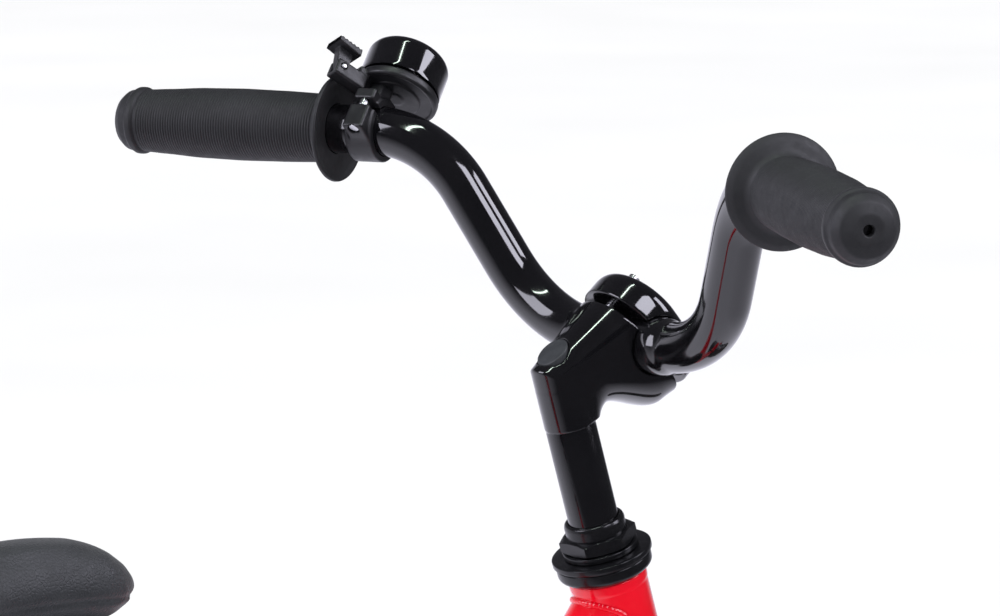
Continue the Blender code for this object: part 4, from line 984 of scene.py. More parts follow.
def head_tube():
    outer = HEAD_TUBE_RADIUS
    low, high = HEAD_TUBE_BOTTOM, HEAD_TUBE_TOP
    outline = [(0.0146, low), (outer + 0.0003, low), (outer + 0.0003, low + 0.0040), (outer, low + 0.0052),
               (outer, high - 0.0052), (outer + 0.0003, high - 0.0040), (outer + 0.0003, high),
               (0.0146, high)]
    piece("head_tube_smooth", turned(outline, 0.0005, 120, closed=True), STEER, "red_paint", "frame",
          ("head_tube",))


def main_path(steps=40):
    start = STEER @ Vector((0.0, 0.0, MAIN_TUBE_START))
    finish_at = SEAT @ Vector((0.0, 0.0, MAIN_TUBE_END))
    return rounded_path([start, start + MAIN_TUBE_KNEE, finish_at], [MAIN_TUBE_BEND], steps)


def main_tube():
    path = filled_in(main_path(), 0.006)
    pipe = piece("main_tube_smooth", tube(path, MAIN_TUBE_RADIUS, 72), WORLD, "red_paint", "frame",
                 ("main_tube",))
    carve_round(pipe, HEAD_TUBE_RADIUS, HEAD_CUT_BOTTOM, STEER)
    carve(pipe, block((0.0, -0.03, HEAD_CUT_BOTTOM), (0.05, 0.03, CUT_TOP)), STEER)
    carve_round(pipe, SEAT_TUBE_RADIUS, SEAT_CUT_BOTTOM, SEAT)
    carve(pipe, block((-0.05, -0.03, SEAT_CUT_BOTTOM), (0.0, 0.03, CUT_TOP)), SEAT)
    dress(pipe, "red_paint", "frame", ("main_tube",), 30.0)
    ahead = (path[0] - path[1]).normalized()
    weld("head_weld", junction_ring(HEAD_TUBE_RADIUS, STEER, path[0], -ahead, MAIN_TUBE_RADIUS), "frame",
         HEAD_WELD)
    behind = (path[-1] - path[-2]).normalized()
    weld("seat_weld", junction_ring(SEAT_TUBE_RADIUS, SEAT, path[-1], -behind, MAIN_TUBE_RADIUS - 0.0019),
         "frame", SEAT_WELD)


def seat_tube():
    piece("seat_tube_smooth", sleeve(0.0130, SEAT_TUBE_RADIUS, -SEAT_TUBE_LENGTH, 0.0, 96, 0.0005), SEAT,
          "red_paint",
          "frame", ("seat_tube",))


def stays():
    middle = 0.5 * (DROPOUT_INNER + DROPOUT_OUTER)
    upper = SEAT @ Vector((0.0, 0.0, -0.030))
    lower = SEAT @ Vector((0.0, 0.0, -0.130))
    for side, word in SIDES:
        runs = (
            ("seat_stay", upper + Vector((-0.004, 0.0085, 0.0)),
             upper + Vector((-0.034, middle - 0.0005, -0.048)),
             REAR_AXLE + Vector((0.0185, middle, 0.0270)), 0.05),
            ("chain_stay", lower + Vector((-0.002, 0.0085, 0.0)),
             lower + Vector((-0.036, middle - 0.0025, -0.010)),
             REAR_AXLE + Vector((0.0260, middle, 0.0070)), 0.04),
        )
        for kind, start, knee, end, bend in runs:
            corners = [mirrored(point, side) for point in (start, knee, end)]
            path = filled_in(rounded_path(corners, [bend], 16), 0.006)
            name = f"{kind}_{word}"
            radii = [STAY_RADIUS] * len(path)
            radii[-1] = STAY_RADIUS * 0.82
            shape = tube(path, radii, 40)
            nodes = (name,) if kind == "seat_stay" else ()
            pipe = piece(f"{name}_smooth", shape, WORLD, "red_paint", "frame", nodes)
            carve_round(pipe, SEAT_TUBE_RADIUS, SEAT_CUT_BOTTOM, SEAT)
            dress(pipe, "red_paint", "frame", nodes, 30.0)
            way = (path[1] - path[0]).normalized()
            weld(f"{name}_weld", junction_ring(SEAT_TUBE_RADIUS, SEAT, path[0], way, STAY_RADIUS, 70),
                 "frame", SEAT_WELD)
        refined(f"chain_stay_{word}", "red_paint", "frame", 0.0006)


# ---------------------------------------------------------------- fork and headset

def blades():
    for side, word in SIDES:
        refined(f"fork_blade_{word}", "red_paint", "fork", 0.0006)
        top = Vector((0.0, BLADE_SPACING, CROWN_BOTTOM - GAP))
        knee = Vector((0.0, BLADE_SPACING, -0.205))
        tip = Vector((FORK_RAKE - 0.0045, 0.5 * (DROPOUT_INNER + DROPOUT_OUTER), -AXLE_DROP + 0.0170))
        path = filled_in(rounded_path([mirrored(point, side) for point in (top, knee, tip)], [0.09], 24),
                         0.004)
        radii = []
        for point in path:
            share = smooth_step((top.z - point.z) / (top.z - tip.z))
            radii.append(0.0105 + (0.0080 - 0.0105) * share + 0.00005)
        radii[-1] *= 0.9
        piece(f"fork_blade_{word}_smooth", tube(path, radii, 48), STEER, "red_paint", "fork")


def crown_field(x, y, z):
    middle = np.maximum(np.abs(y) - BLADE_SPACING, 0.0)
    plan = np.hypot(x, middle * 15.0 / 13.5) - 0.0150
    level = np.abs(z - 0.5 * (CROWN_TOP + CROWN_BOTTOM)) - 0.5 * (CROWN_TOP - CROWN_BOTTOM)
    body = smooth_max(plan, level, 0.0060)
    race = rod_field(x, y, z, 0.0185, CROWN_TOP - 0.006, CROWN_TOP + 0.0041, 0.0009)
    whole = smooth_min(body, race, 0.0030)
    socket = rod_field(x, y, z, STEERER_RADIUS + GAP, CROWN_TOP + 0.0007, 0.0, 0.0001)
    return smooth_max(whole, -socket, 0.0003)


def fork():
    steerer = sleeve(STEERER_BORE, STEERER_RADIUS, CROWN_TOP + 0.001, 0.0165, 72)
    piece("steerer_tube_smooth", steerer, STEER, "satin_black", "fork", ("steerer_tube",))
    shape = net(crown_field, (-0.019, -0.054, CROWN_BOTTOM), (0.019, 0.054, CROWN_TOP + 0.0045), 0.0009)
    piece("fork_crown_cast", shape, STEER, "red_paint", "fork", ("fork_crown",), 60.0)
    blades()


def headset():
    bore = STEERER_RADIUS + GAP
    skirt = 0.0143
    top = HEAD_TUBE_TOP
    upper = [(0.0131, top - 0.010), (skirt, top - 0.010), (skirt, top + GAP), (0.0182, top + GAP),
             (0.0206, -0.0052),
             (0.0212, -0.0040), (0.0212, 0.0), (0.0131, 0.0)]
    piece("upper_cup_turned", turned(upper, 0.0005, 120, closed=True), STEER, "satin_black", "frame",
          ("headset_upper_cup",))
    base = HEAD_TUBE_BOTTOM - GAP
    lower = [(0.0131, base + 0.010), (skirt, base + 0.010), (skirt, base), (0.0182, base),
             (0.0212, base - 0.005),
             (0.0212, base - 0.007), (0.0131, base - 0.007)]
    piece("lower_cup_turned", turned(lower, 0.0005, 120, closed=True), STEER, "satin_black", "frame",
          ("headset_lower_cup",))
    cover = [(bore, 0.0003), (0.0214, 0.0003), (0.0214, 0.0011), (0.0223, 0.0011), (0.0223, 0.0036),
             (bore, 0.0036)]
    piece("cover_turned", turned(cover, 0.0004, 120, closed=True), STEER, "satin_black", "fork",
          ("headset_cover",))
    washer = [(bore, 0.0039), (0.0168, 0.0039), (0.0168, 0.0064), (bore, 0.0064)]
    piece("washer_turned", turned(washer, 0.0004, 96, closed=True), STEER, "satin_black", "fork",
          ("headset_washer",))
    collar = [(0.0, 0.0110), (0.0135, 0.0110), (0.0135, 0.0175), (0.0130, 0.0188), (0.0124, 0.0192),
              (0.0, 0.0192)]
    nut = piece("locknut_chamfered", skin(hex_rings(0.0300, 0.0067, 0.0127, 0.0009)), STEER, "satin_black",
                "fork",
                ("headset_locknut",))
    carve(nut, turned(collar, 0.0004, 96), STEER, "UNION")
    hole = [(0.0, -0.010), (bore, -0.010), (bore, 0.0168), (STEERER_BORE + 0.0001, 0.0168),
            (STEERER_BORE + 0.0001, 0.0178), (STEERER_BORE + 0.0007, 0.030), (0.0, 0.030)]
    carve(nut, lathe(hole, 96), STEER)
    dress(nut, "satin_black", "fork", ("headset_locknut",), 25.0)


# ---------------------------------------------------------------- stem

ARM_COS, ARM_SIN = math.cos(CLAMP_TILT), math.sin(CLAMP_TILT)


def round_section(y, z, half_width, top, edge, bottom):
    """A section with a round top, upright sides and a round belly below the edge height."""
    centre = top - half_width
    upper = np.hypot(y, np.maximum(z - centre, 0.0)) - half_width
    depth = np.maximum(edge - bottom, 0.001)
    below = np.minimum(z - edge, 0.0)
    lower = (np.sqrt((y / half_width) ** 2 + (below / depth) ** 2) - 1.0) * np.minimum(half_width, depth)
    return np.where(z < edge, lower, upper)


def stem_head_field(x, y, z):
    """Quill top and the arm that widens towards the bar; the arm is square to the tilted clamp."""
    ahead, high = x - CLAMP_AHEAD, z - CLAMP_HEIGHT
    along = ahead * ARM_COS + high * ARM_SIN
    up = high * ARM_COS - ahead * ARM_SIN
    share = np.clip((along - ARM_REAR) / -ARM_REAR, 0.15, 1.0)
    width = QUILL_HEAD_RADIUS + (ARM_HALF_WIDTH - QUILL_HEAD_RADIUS) * (share - 0.15) / 0.85
    edge = np.minimum(-0.0187 - 0.9 * along, ARM_TOP - width - 0.001)
    bottom = ARM_REAR_BOTTOM + (ARM_BOTTOM - ARM_REAR_BOTTOM) * ramp((along + 0.031) / 0.022)
    section = round_section(y, up, width, ARM_TOP, edge, np.minimum(bottom, edge - 0.002))
    plan = np.hypot(np.minimum(x, 0.0), y) - (QUILL_HEAD_RADIUS + 0.34 * np.maximum(x, 0.0))
    arm = smooth_max(smooth_max(section, plan, 0.0009), along + 0.5 * CLAMP_GAP, 0.0012)
    quill = smooth_max(np.hypot(x, y) - QUILL_HEAD_RADIUS, z - 0.0830, 0.0005)
    fillet = 0.0002 + 0.0085 * ramp(x / 0.0110)
    whole = smooth_min(quill, arm, fillet)
    whole = smooth_max(whole, QUILL_SEAM - z - 2.0 * np.maximum(x - 0.0118, 0.0), 0.0004)
    whole = smooth_max(whole, BAR_CENTRE_RADIUS + GAP - np.hypot(ahead, high), 0.0008)
    plug = smooth_max(np.hypot(x, y) - (PLUG_RADIUS + GAP), 0.0822 - z, 0.0003)
    return smooth_max(whole, -plug, 0.0007)


def cap_field(along, y, up):
    section = round_section(y, up, ARM_HALF_WIDTH + 0.0010, ARM_TOP + 0.0010, np.full_like(y, -0.0150),
                            np.full_like(y, ARM_BOTTOM))
    spread = (y ** 2 + up ** 2) / (0.025 ** 2)
    front = along - (CAP_THICKNESS + 0.0006 - 0.0016 * spread)
    whole = smooth_max(smooth_max(section, front, 0.0075), 0.5 * CLAMP_GAP - along, 0.0012)
    whole = smooth_max(whole, BAR_CENTRE_RADIUS + GAP - np.hypot(along, up), 0.0008)
    for height in (CAP_SCREW_OFFSET, -CAP_SCREW_OFFSET):
        around = np.hypot(y, up - height)
        recess = smooth_max(around - 0.0044, 0.0162 - along, 0.0002)
        whole = smooth_max(smooth_max(whole, -recess, 0.0006), 0.0026 - around, 0.0002)
    return whole


def stem():
    shape = net(stem_head_field, (-0.0125, -0.0235, 0.0540), (0.0530, 0.0235, 0.1130), 0.00055)
    piece("stem_head_cast", shape, STEER, "black_paint", "stem", ("stem",), 60.0)
    seam = QUILL_SEAM
    quill = [(0.0, -0.0500), (QUILL_RADIUS - 0.0006, -0.0500), (QUILL_RADIUS, -0.0494),
             (QUILL_RADIUS, seam - 0.0012),
             (QUILL_RADIUS - 0.0005, seam - 0.0003), (QUILL_RADIUS - 0.0005, seam + 0.0030),
             (0.0, seam + 0.0030)]
    piece("stem_quill_tube", lathe(quill, 120), STEER, "black_paint", "stem")
    shape = net(cap_field, (0.0016, -0.0240, -0.0305), (0.0195, 0.0240, 0.0290), 0.0005)
    piece("stem_cap_cast", shape, ARM, "black_paint", "stem", ("stem_cap",), 60.0)
    outline = [(0.0, 0.0901), (PLUG_RADIUS, 0.0901), (PLUG_RADIUS, 0.115), (0.0, 0.115)]
    plug = piece("plug_domed", turned(outline, 0.0002, 72), STEER, "grey_plastic", "stem", ("stem_plug",))
    level = STEER @ Matrix.Translation((0.0, 0.0, ARM_TOP_AT_AXIS - 0.0002)) @ Matrix.Rotation(-CLAMP_TILT,
                                                                                               4, "Y")
    carve(plug, block((-0.03, -0.03, 0.0), (0.03, 0.03, 0.03)), level)
    round_edges(plug, 0.0007, 3)
    dress(plug, "grey_plastic", "stem", ("stem_plug",), 50.0)
    for word, side in (("upper", 1), ("lower", -1)):
        place = ARM @ axes_frame((0.0, 0.0, side * CAP_SCREW_OFFSET), (0.0, 0.0, 1.0), (1.0, 0.0, 0.0))
        socket_screw(f"cap_screw_{word}", place, -0.0185, 0.0150, 0.0202, 0.0022, 0.0027, "bright_steel",
                     "stem")
    for name, look in (("stem_wedge", "bright_steel"), ("stem_bolt", "bright_steel")):
        refined(name, look, "stem", 0.0004)


def round_edges(obj, width, segments=2, angle=38.0):
    bevel = obj.modifiers.new("round", "BEVEL")
    bevel.width = width
    bevel.segments = segments
    bevel.limit_method = "ANGLE"
    bevel.angle_limit = math.radians(angle)
    return settle(obj)


def socket_screw(name, place, low, under, top, shank, head, look, body):
    """Cap screw with a hexagonal key socket in its head."""
    outline = [(0.0, low), (shank, low), (shank, under), (head, under), (head, top), (0.0, top)]
    screw = piece(f"{name}_socketed", turned(outline, 0.0003, 48), place, look, body, (name,))
    corner = head * 0.55
    key = [(corner * math.cos(turn),
            corner * math.sin(turn)) for turn in (HALF_TURN * step / 3 for step in range(6))]
    carve(screw, prism(key, top - 0.0016, top + 0.01), place)
    return dress(screw, look, body, (name,), 30.0)


# ---------------------------------------------------------------- handlebar, grips

def bar_line():
    """Centre line of the bent bar from its right end to its left, with its radius at each point."""
    tip = BAR_ELBOW + BAR_ALONG * (BAR_PAST_ELBOW - 0.003)
    start = Vector((CLAMP_AHEAD, 0.0, CLAMP_HEIGHT))
    knee = corner_arc(start, BAR_KNEE, BAR_ELBOW, BAR_KNEE_BEND, 28)
    left = rounded_path([BAR_KNEE, BAR_ELBOW, tip], [BAR_ELBOW_BEND], 28)[1:]
    half = filled_in([start] + knee + left, 0.003)
    path = [mirrored(point, -1) for point in reversed(half)] + half[1:]
    radii = []
    for point in path:
        share = smooth_step((abs(point.y) - BAR_CENTRE_HALF) / 0.0075)
        radii.append(BAR_CENTRE_RADIUS + (BAR_RADIUS - BAR_CENTRE_RADIUS) * share)
    return path, radii


def handlebar():
    path, radii = bar_line()
    piece("handlebar_smooth", tube(path, radii, 64), STEER, "black_paint", "handlebar", ("handlebar",), 50.0)


def grip_radius(share):
    """Outer radius of the grip's barrel from its disc (0) to its end ring (1)."""
    for (start, first), (end, second) in zip(GRIP_BARREL, GRIP_BARREL[1:]):
        if share <= end:
            mixed = smooth_step((share - start) / (end - start))
            return first + (second - first) * (0.4 * mixed + 0.6 * (share - start) / (end - start))
    return GRIP_BARREL[-1][1]


def grip_shape():
    bore = BAR_RADIUS + GAP
    disc = GRIP_DISC_AT
    end = GRIP_END_AT
    inner_end = BAR_PAST_ELBOW - 0.003 + GAP
    rim = GRIP_DISC_RADIUS
    outline = softened([
        (bore, disc - 0.0015), (0.0150, disc - 0.0015), (0.0205, disc - 0.0020),
        (rim - 0.0001, disc - 0.0033),
        (rim + 0.0003, disc - 0.0016), (0.0215, disc + 0.0004), (0.0174, disc + 0.0022),
        (0.0158, disc + 0.0036),
    ], 0.0009)
    start = disc + 0.0045
    finish_at = end - 0.0130
    ribs = int((finish_at - start) / RIB_PITCH)
    for rib in range(ribs):
        for part, depth in ((0.0, 1.0), (0.22, 0.25), (0.40, 0.0), (0.62, 0.0), (0.80, 0.25)):
            along = start + (rib + part) * RIB_PITCH
            outline.append((grip_radius((along - start) / (finish_at - start)) - 0.00034 * depth, along))
    outline += softened([
        (0.0142, end - 0.0127), (0.0155, end - 0.0119), (0.0155, end - 0.0092), (0.0144, end - 0.0082),
        (0.0139, end - 0.0050), (0.0112, end - 0.0017), (0.0064, end), (0.0025, end + 0.0001),
        (0.0022, end - 0.0008),
        (0.0022, inner_end), (bore, inner_end),
    ], 0.0008)
    return lathe(outline, 96, closed=True)


def grips():
    for side, word in SIDES:
        piece(f"grip_{word}_ribbed", grip_shape(), grip_frame(side), "grip_rubber", "handlebar",
              (f"grip_{word}",), 50.0)


# ---------------------------------------------------------------- bell

def bell_clamp_field(x, y, z):
    band = rod_field(y, z, x, 0.0144, -0.0037, 0.0095, 0.0006)
    lower = box_field(x, y, z, (-0.0030, 0.0060, -0.0120), (0.0070, 0.0185, 0.0010), 0.0012)
    upper = box_field(x, y, z, (-0.0030, 0.0060, 0.0046), (0.0070, 0.0180, 0.0105), 0.0012)
    turn = [HALF_TURN * (step + 0.5) / 3.0 for step in range(6)]
    sides = [(x - 0.0025) * math.cos(t) + (y - 0.0055) * math.sin(t) for t in turn]
    post = sides[0] - 0.00525
    for side in sides[1:]:
        post = smooth_max(post, side - 0.00525, 0.0007)
    post = smooth_max(post, z - (BELL_BASE_HEIGHT - GAP), 0.0003)
    post = smooth_max(post, 0.0080 - z, 0.0003)
    whole = smooth_min(smooth_min(band, lower, 0.0012), smooth_min(upper, post, 0.0012), 0.0010)
    split = box_field(x, y, z, (-0.02, 0.0100, 0.0010), (0.02, 0.0300, 0.0046), 0.0001)
    whole = smooth_max(whole, -split, 0.0004)
    screw = np.hypot(x - 0.0020, y - 0.0155)
    hole = smooth_max(screw - 0.0018, z - 0.0095, 0.0001)
    sink = smooth_max(screw - 0.0027, z + 0.0095, 0.0002)
    return smooth_max(smooth_max(whole, -hole, 0.0002), -sink, 0.0004)


def bell_base_field(x, y, z):
    high = BELL_BASE_HEIGHT + BELL_BASE_THICKNESS
    plate = rod_field(x, y, z, BELL_BASE_RADIUS, BELL_BASE_HEIGHT, high, 0.0013)
    dish = rod_field(x, y, z, BELL_BASE_RADIUS - 0.0022, BELL_BASE_HEIGHT - 0.002, BELL_BASE_HEIGHT + 0.0007,
                     0.0003)
    plate = smooth_max(plate, -dish, 0.0005)
    hub = rod_field(x, y, z, 0.0120, BELL_BASE_HEIGHT, high, 0.0005)
    post = rod_field(x, y, z, 0.0040, BELL_BASE_HEIGHT, high + 0.0012 + DOME_HEIGHT - DOME_WALL - GAP, 0.0004)
    whole = smooth_min(smooth_min(plate, hub, 0.0004), post, 0.0012)
    cos, sin = math.cos(LEVER_DIRECTION), math.sin(LEVER_DIRECTION)
    along = x * cos + y * sin - LEVER_PIVOT_RADIUS
    across = y * cos - x * sin
    height = z - LEVER_PIVOT_HEIGHT
    bracket = box_field(along, across, height, (-0.0130, -0.0042, -0.0048), (0.0035, 0.0042, 0.0028), 0.0009)
    neck = box_field(along, across, height, (-0.0128, -0.0040, 0.0004), (-0.0076, 0.0040, 0.0060), 0.0009)
    whole = smooth_min(whole, smooth_min(bracket, neck, 0.0006), 0.0008)
    slit = box_field(along, across, height, (-0.0070, -0.0025, -0.0036), (0.02, 0.0025, 0.03), 0.0002)
    whole = smooth_max(whole, -slit, 0.0004)
    pin = np.hypot(along, height) - (PIN_RADIUS + GAP)
    return smooth_max(whole, -smooth_max(pin, np.abs(across) - 0.01, 0.0001), 0.0001)


def bell():
    shape = net(bell_clamp_field, (-0.0045, -0.0160, -0.0160), (0.0105, 0.0195, 0.0190), 0.00045)
    strap = piece("bell_clamp_moulded", shape, BELL, "black_plastic", "handlebar", ("bell_clamp",), 60.0)
    path, radii = bar_line()
    carve(strap, tube(path, [radius + GAP for radius in radii], 64), STEER)
    dress(strap, "black_plastic", "handlebar", ("bell_clamp",), 60.0)
    shape = net(bell_base_field, (-0.0205, -0.0205, 0.0095), (0.0245, 0.0320, 0.0450), 0.00055)
    piece("bell_base_moulded", shape, BELL_BODY, "black_plastic", "handlebar", ("bell_base",), 60.0)
    edge = BELL_BASE_HEIGHT + BELL_BASE_THICKNESS + 0.0012
    top = edge + DOME_HEIGHT
    outer, inner = [], []
    for step in range(19):
        turn = math.radians(90.0 * step / 18)
        outer.append((DOME_RADIUS - 0.0062 + 0.0062 * math.cos(turn), top - 0.0068 + 0.0056 * math.sin(turn)))
        inner.append((DOME_RADIUS - DOME_WALL - 0.0048 + 0.0048 * math.cos(turn),
                      top - 0.0070 + 0.0044 * math.sin(turn)))
    crown = [(0.0095, top - 0.0006), (0.0060, top - 0.0002), (0.0, top)]
    roof = [(0.0, top - DOME_WALL), (0.0060, top - DOME_WALL - 0.0002), (0.0090, top - DOME_WALL - 0.0006)]
    outline = [(DOME_RADIUS - DOME_WALL + 0.0003, edge), (DOME_RADIUS + 0.0001, edge),
               (DOME_RADIUS + 0.0002, edge + 0.0010),
               (DOME_RADIUS, edge + 0.0020)] + outer + crown + roof + inner[::-1]
    outline += [(DOME_RADIUS - DOME_WALL, edge + 0.0010)]
    piece("bell_dome_spun", skin([circle(radius, height, 128) for radius, height in outline], closed=True),
          BELL_BODY,
          "black_paint", "handlebar", ("bell_dome",), 50.0)
    place = BELL @ Matrix.Translation((0.0020, 0.0155, 0.0))
    screw = [(0.0, -0.0112), (0.0023, -0.0112), (0.0023, -0.0098), (0.0015, -0.0098), (0.0015, 0.0012)]
    screw += [(0.0022, 0.0012), (0.0022, 0.0043), (0.0015, 0.0043), (0.0015, 0.0088), (0.0, 0.0088)]
    piece("bell_screw_turned", turned(screw, 0.0002, 32), place, "bright_steel", "handlebar",
          ("bell_clamp_screw",))
    pin_place = LEVER @ axes_frame((0.0, 0.0, 0.0), (1.0, 0.0, 0.0), (0.0, 1.0, 0.0))
    pin = [(0.0, -0.0046), (0.0009, -0.0046), (PIN_RADIUS, -0.0042), (PIN_RADIUS, 0.0042), (0.0009, 0.0046),
           (0.0, 0.0046)]
    piece("bell_pin_domed", turned(pin, 0.0002, 32), pin_place, "bright_steel", "handlebar",
          ("bell_lever_pin",))
    shape = net(bell_lever_field, (-0.0130, -0.0075, -0.0040), (0.0070, 0.0075, 0.0140), 0.00035)
    piece("bell_lever_moulded", shape, LEVER, "black_plastic", "bell_lever", ("bell_lever",), 60.0)
    refined("bell_striker", "bright_steel", "bell_striker", 0.0003)


def bell_lever_field(x, y, z):
    """Thumb pad with grip ridges on a web round the pin, in the lever's own frame."""
    return np.minimum(lever_web(x, y, z), lever_pad(x, y, z))


def polygon_field(x, z, corners):
    """Largest signed distance to the sides of a convex outline."""
    value = None
    for (ax, az), (bx, bz) in zip(corners, corners[1:] + corners[:1]):
        length = math.hypot(bx - ax, bz - az)
        side = ((x - ax) * (bz - az) - (z - az) * (bx - ax)) / length
        value = side if value is None else smooth_max(value, side, 0.0006)
    return value


def lever_web(x, y, z):
    web = [(-0.0024, -0.0020), (0.0022, -0.0022), (0.0034, 0.0010), (0.0052, 0.0100), (-0.0030, 0.0095)]
    field = smooth_max(polygon_field(x, z, web), np.abs(y) - 0.0022, 0.0004)
    return smooth_max(field, -(np.hypot(x, z) - PIN_RADIUS - GAP), 0.0001)


def lever_pad(x, y, z):
    pad = [(-0.0050, 0.0080), (0.0120, 0.0098), (0.0125, 0.0122), (-0.0046, 0.0115)]
    ridges = 0.00022 * np.cos(FULL_TURN * x / 0.0021) * ramp((z - 0.0105) / 0.001)
    return smooth_max(polygon_field(x, z, pad) - ridges, np.abs(y) - 0.0062, 0.0008)


# ---------------------------------------------------------------- saddle

SADDLE_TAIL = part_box("saddle_pad")[0].x


def saddle_half_width(share):
    wide = 0.5 * SADDLE_WIDTH
    narrow = 0.5 * SADDLE_NOSE_WIDTH
    taper = wide + (narrow - wide) * smooth_step((share - 0.12) / 0.60)
    tail = math.sqrt(max(0.0, 1.0 - max(0.0, 1.0 - share / 0.20) ** 2.4))
    nose = math.sqrt(max(0.0, 1.0 - max(0.0, (share - 0.87) / 0.13) ** 2.2))
    return taper * (0.32 + 0.68 * tail) * (0.38 + 0.62 * nose)


def saddle_line(share):
    return 0.008 * (1.0 - smooth_step(share / 0.5)) - 0.004 * smooth_step((share - 0.75) / 0.25)


def pad_rings(inset, stations=56, count=64):
    """Sections of the soft cover: crowned on top, tucked in under its widest line."""
    rings = []
    for index in range(stations):
        share = 0.5 - 0.5 * math.cos(HALF_TURN * index / (stations - 1))
        half_width = max(saddle_half_width(share) - inset, 0.002)
        edge = 1.0 - max(0.0, 1.0 - share / 0.10) ** 2 - max(0.0, (share - 0.90) / 0.10) ** 2
        edge = max(edge, 0.0)
        top = SADDLE_TOP_HEIGHT + saddle_line(share) - inset - 0.012 * (1.0 - edge)
        low = SADDLE_TOP_HEIGHT - PAD_THICKNESS + 0.6 * saddle_line(share) + inset * 0.4
        low = low + 0.008 * (1.0 - edge)
        middle = low + 0.42 * (top - low)
        shrink = 0.35 + 0.65 * math.sqrt(edge)
        along = SADDLE_TAIL + inset + (SADDLE_LENGTH - 2.0 * inset) * share
        ring = []
        for step in range(count):
            turn = FULL_TURN * step / count
            cosine, sine = math.cos(turn), math.sin(turn)
            wide = math.copysign(abs(cosine) ** 0.80, cosine) * half_width * (0.72 + 0.28 * shrink)
            reach = (top - middle) if sine > 0 else (middle - low)
            tall = math.copysign(abs(sine) ** 0.85, sine) * reach
            if sine < 0:
                wide *= 1.0 - 0.10 * sine * sine
            ring.append(Vector((along, wide, middle + tall)))
        rings.append(ring)
    return rings


def soft_pad():
    """Voxel copy swollen by cloth pressure within a small limit, then drawn in along its seam."""
    obj = temporary(skin(pad_rings(0.0028)), WORLD)
    obj.name = "saddle_cover"
    remesh = obj.modifiers.new("remesh", "REMESH")
    remesh.mode = "VOXEL"
    remesh.voxel_size = 0.0045
    settle(obj)
    start = [vertex.co.copy() for vertex in obj.data.vertices]
    swell(obj, start)
    seam = SADDLE_TOP_HEIGHT - PAD_THICKNESS + 0.0105
    smooth = obj.modifiers.new("smooth", "SUBSURF")
    smooth.levels = smooth.render_levels = 2
    settle(obj)
    for vertex in obj.data.vertices:
        share = (vertex.co.x - SADDLE_TAIL) / SADDLE_LENGTH
        level = seam + 0.6 * saddle_line(min(max(share, 0.0), 1.0))
        near = math.exp(-((vertex.co.z - level) / 0.0011) ** 2)
        inward = Vector((0.0, -vertex.co.y, 0.0))
        if share > 0.93 or share < 0.08:
            inward += Vector((SADDLE_TAIL + SADDLE_LENGTH * 0.5 - vertex.co.x, 0.0, 0.0)) * 0.6
        if inward.length > 1e-6:
            vertex.co += inward.normalized() * (0.0009 * near)
        crease = noise.noise(Vector((vertex.co.x * 34.0, vertex.co.y * 52.0, vertex.co.z * 40.0)))
        vertex.co.z += 0.00035 * crease
    dress(obj, "saddle_vinyl", "seatpost", ("saddle_pad",), 70.0)
    return obj


def swell(obj, start):
    cloth = obj.modifiers.new("cloth", "CLOTH")
    cloth.settings.use_pressure = True
    cloth.settings.uniform_pressure_force = 4.0
    cloth.settings.effector_weights.gravity = 0.0
    cloth.settings.quality = 5
    cloth.point_cache.frame_start = 1
    cloth.point_cache.frame_end = 20
    for step in range(1, 21):
        bpy.context.scene.frame_set(step)
    settle(obj)
    bpy.context.scene.frame_set(1)
    limit = 0.0030
    for vertex, home in zip(obj.data.vertices, start):
        shift = vertex.co - home
        if shift.length > limit:
            vertex.co = home + shift.normalized() * limit


def saddle_plan(inset, samples=60):
    """Closed plan outline of the saddle at an inset, walked once round."""
    side = []
    for index in range(samples):
        share = 0.02 + 0.965 * (0.5 - 0.5 * math.cos(HALF_TURN * index / (samples - 1)))
        along = SADDLE_TAIL + inset + (SADDLE_LENGTH - 2.0 * inset) * share
        side.append((along, max(saddle_half_width(share) - inset, 0.003), share))
    return side + [(x, -y, share) for x, y, share in reversed(side)]


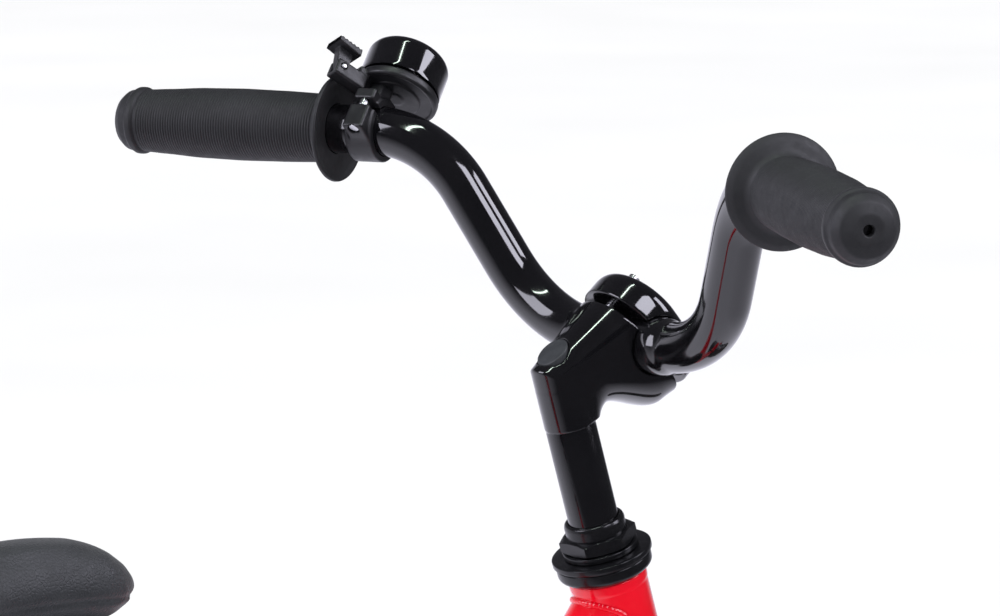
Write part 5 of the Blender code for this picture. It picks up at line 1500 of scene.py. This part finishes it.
def saddle():
    soft_pad()
    high = SADDLE_TOP_HEIGHT - PAD_THICKNESS - GAP - 0.003
    plan = saddle_plan(0.008)
    rings = []
    shell_steps = (
        (-SHELL_THICKNESS, 0.0030),
        (-SHELL_THICKNESS + 0.0006, 0.0012),
        (-SHELL_THICKNESS + 0.0020, 0.0),
        (-0.0008, 0.0),
        (0.0, 0.0006),
    )
    for height, shrink in shell_steps:
        centre = SADDLE_TAIL + 0.5 * SADDLE_LENGTH
        ring = []
        for x, y, _ in plan:
            pull = Vector((centre - x, -y, 0.0)).normalized() * shrink
            ring.append(Vector((x + pull.x, y + pull.y, high + height)))
        rings.append(ring)
    piece("saddle_base_moulded", skin(rings), WORLD, "black_plastic", "seatpost", ("saddle_base",), 40.0)
    rails()
    refined("saddle_clamp", "satin_black", "seatpost", 0.0010, 3)
    centre = SEAT_TOP + AXIS_UP * ((rail_height() - SEAT_TOP.z) / AXIS_UP.z)
    top = (centre - SEAT_TOP).length - 0.0005
    marks = []
    for step in range(6):
        low = -0.060 + 0.004 * step
        marks += [(POST_RADIUS, low), (POST_RADIUS - 0.0002, low + 0.0002),
                  (POST_RADIUS - 0.0002, low + 0.0006),
                  (POST_RADIUS, low + 0.0008)]
    outline = [(0.0, -0.090), (POST_RADIUS - 0.0006, -0.090), (POST_RADIUS, -0.0894)] + marks
    outline += [(POST_RADIUS, top - 0.0005), (POST_RADIUS - 0.0005, top), (0.0, top)]
    piece("seatpost_turned", lathe(outline, 96), SEAT, "bright_steel", "seatpost", ("seatpost",))


def rail_height():
    return SADDLE_TOP_HEIGHT - PAD_THICKNESS - SHELL_THICKNESS - 0.0200


def rails():
    level = rail_height()
    under = SADDLE_TOP_HEIGHT - PAD_THICKNESS - SHELL_THICKNESS - 0.003 - 2.0 * GAP - RAIL_RADIUS
    left = [(0.034, RAIL_SPREAD + 0.010, under), (0.062, RAIL_SPREAD, level), (0.148, RAIL_SPREAD, level),
            (0.182, RAIL_SPREAD - 0.010, under), (0.198, 0.0090, under)]
    left = [Vector((SADDLE_TAIL + x, y, z)) for x, y, z in left]
    corners = left + [mirrored(point, -1) for point in reversed(left)]
    path = rounded_path(corners, [0.012, 0.020, 0.012, 0.006, 0.006, 0.012, 0.020, 0.012], 8)
    piece("saddle_rails_bent", tube(path, RAIL_RADIUS, 28), WORLD, "bright_steel", "seatpost",
          ("saddle_rails",), 50.0)


def seat_clamp():
    refined("seat_collar", "black_paint", "frame", 0.0006, 3)
    refined("seat_collar_bolt", "bright_steel", "frame", 0.0004)
    refined("seat_lever", "black_paint", "seat_lever", 0.0005)


# ---------------------------------------------------------------- the whole scene

camera()
studio()
for prefix, place, holder in (("front", FRONT_WHEEL, "fork"), ("rear", REAR_WHEEL, "frame")):
    wheel(prefix, place)
    axle_set(prefix, place, holder)
head_tube()
main_tube()
seat_tube()
stays()
fork()
headset()
stem()
handlebar()
grips()
bell()
saddle()
seat_clamp()
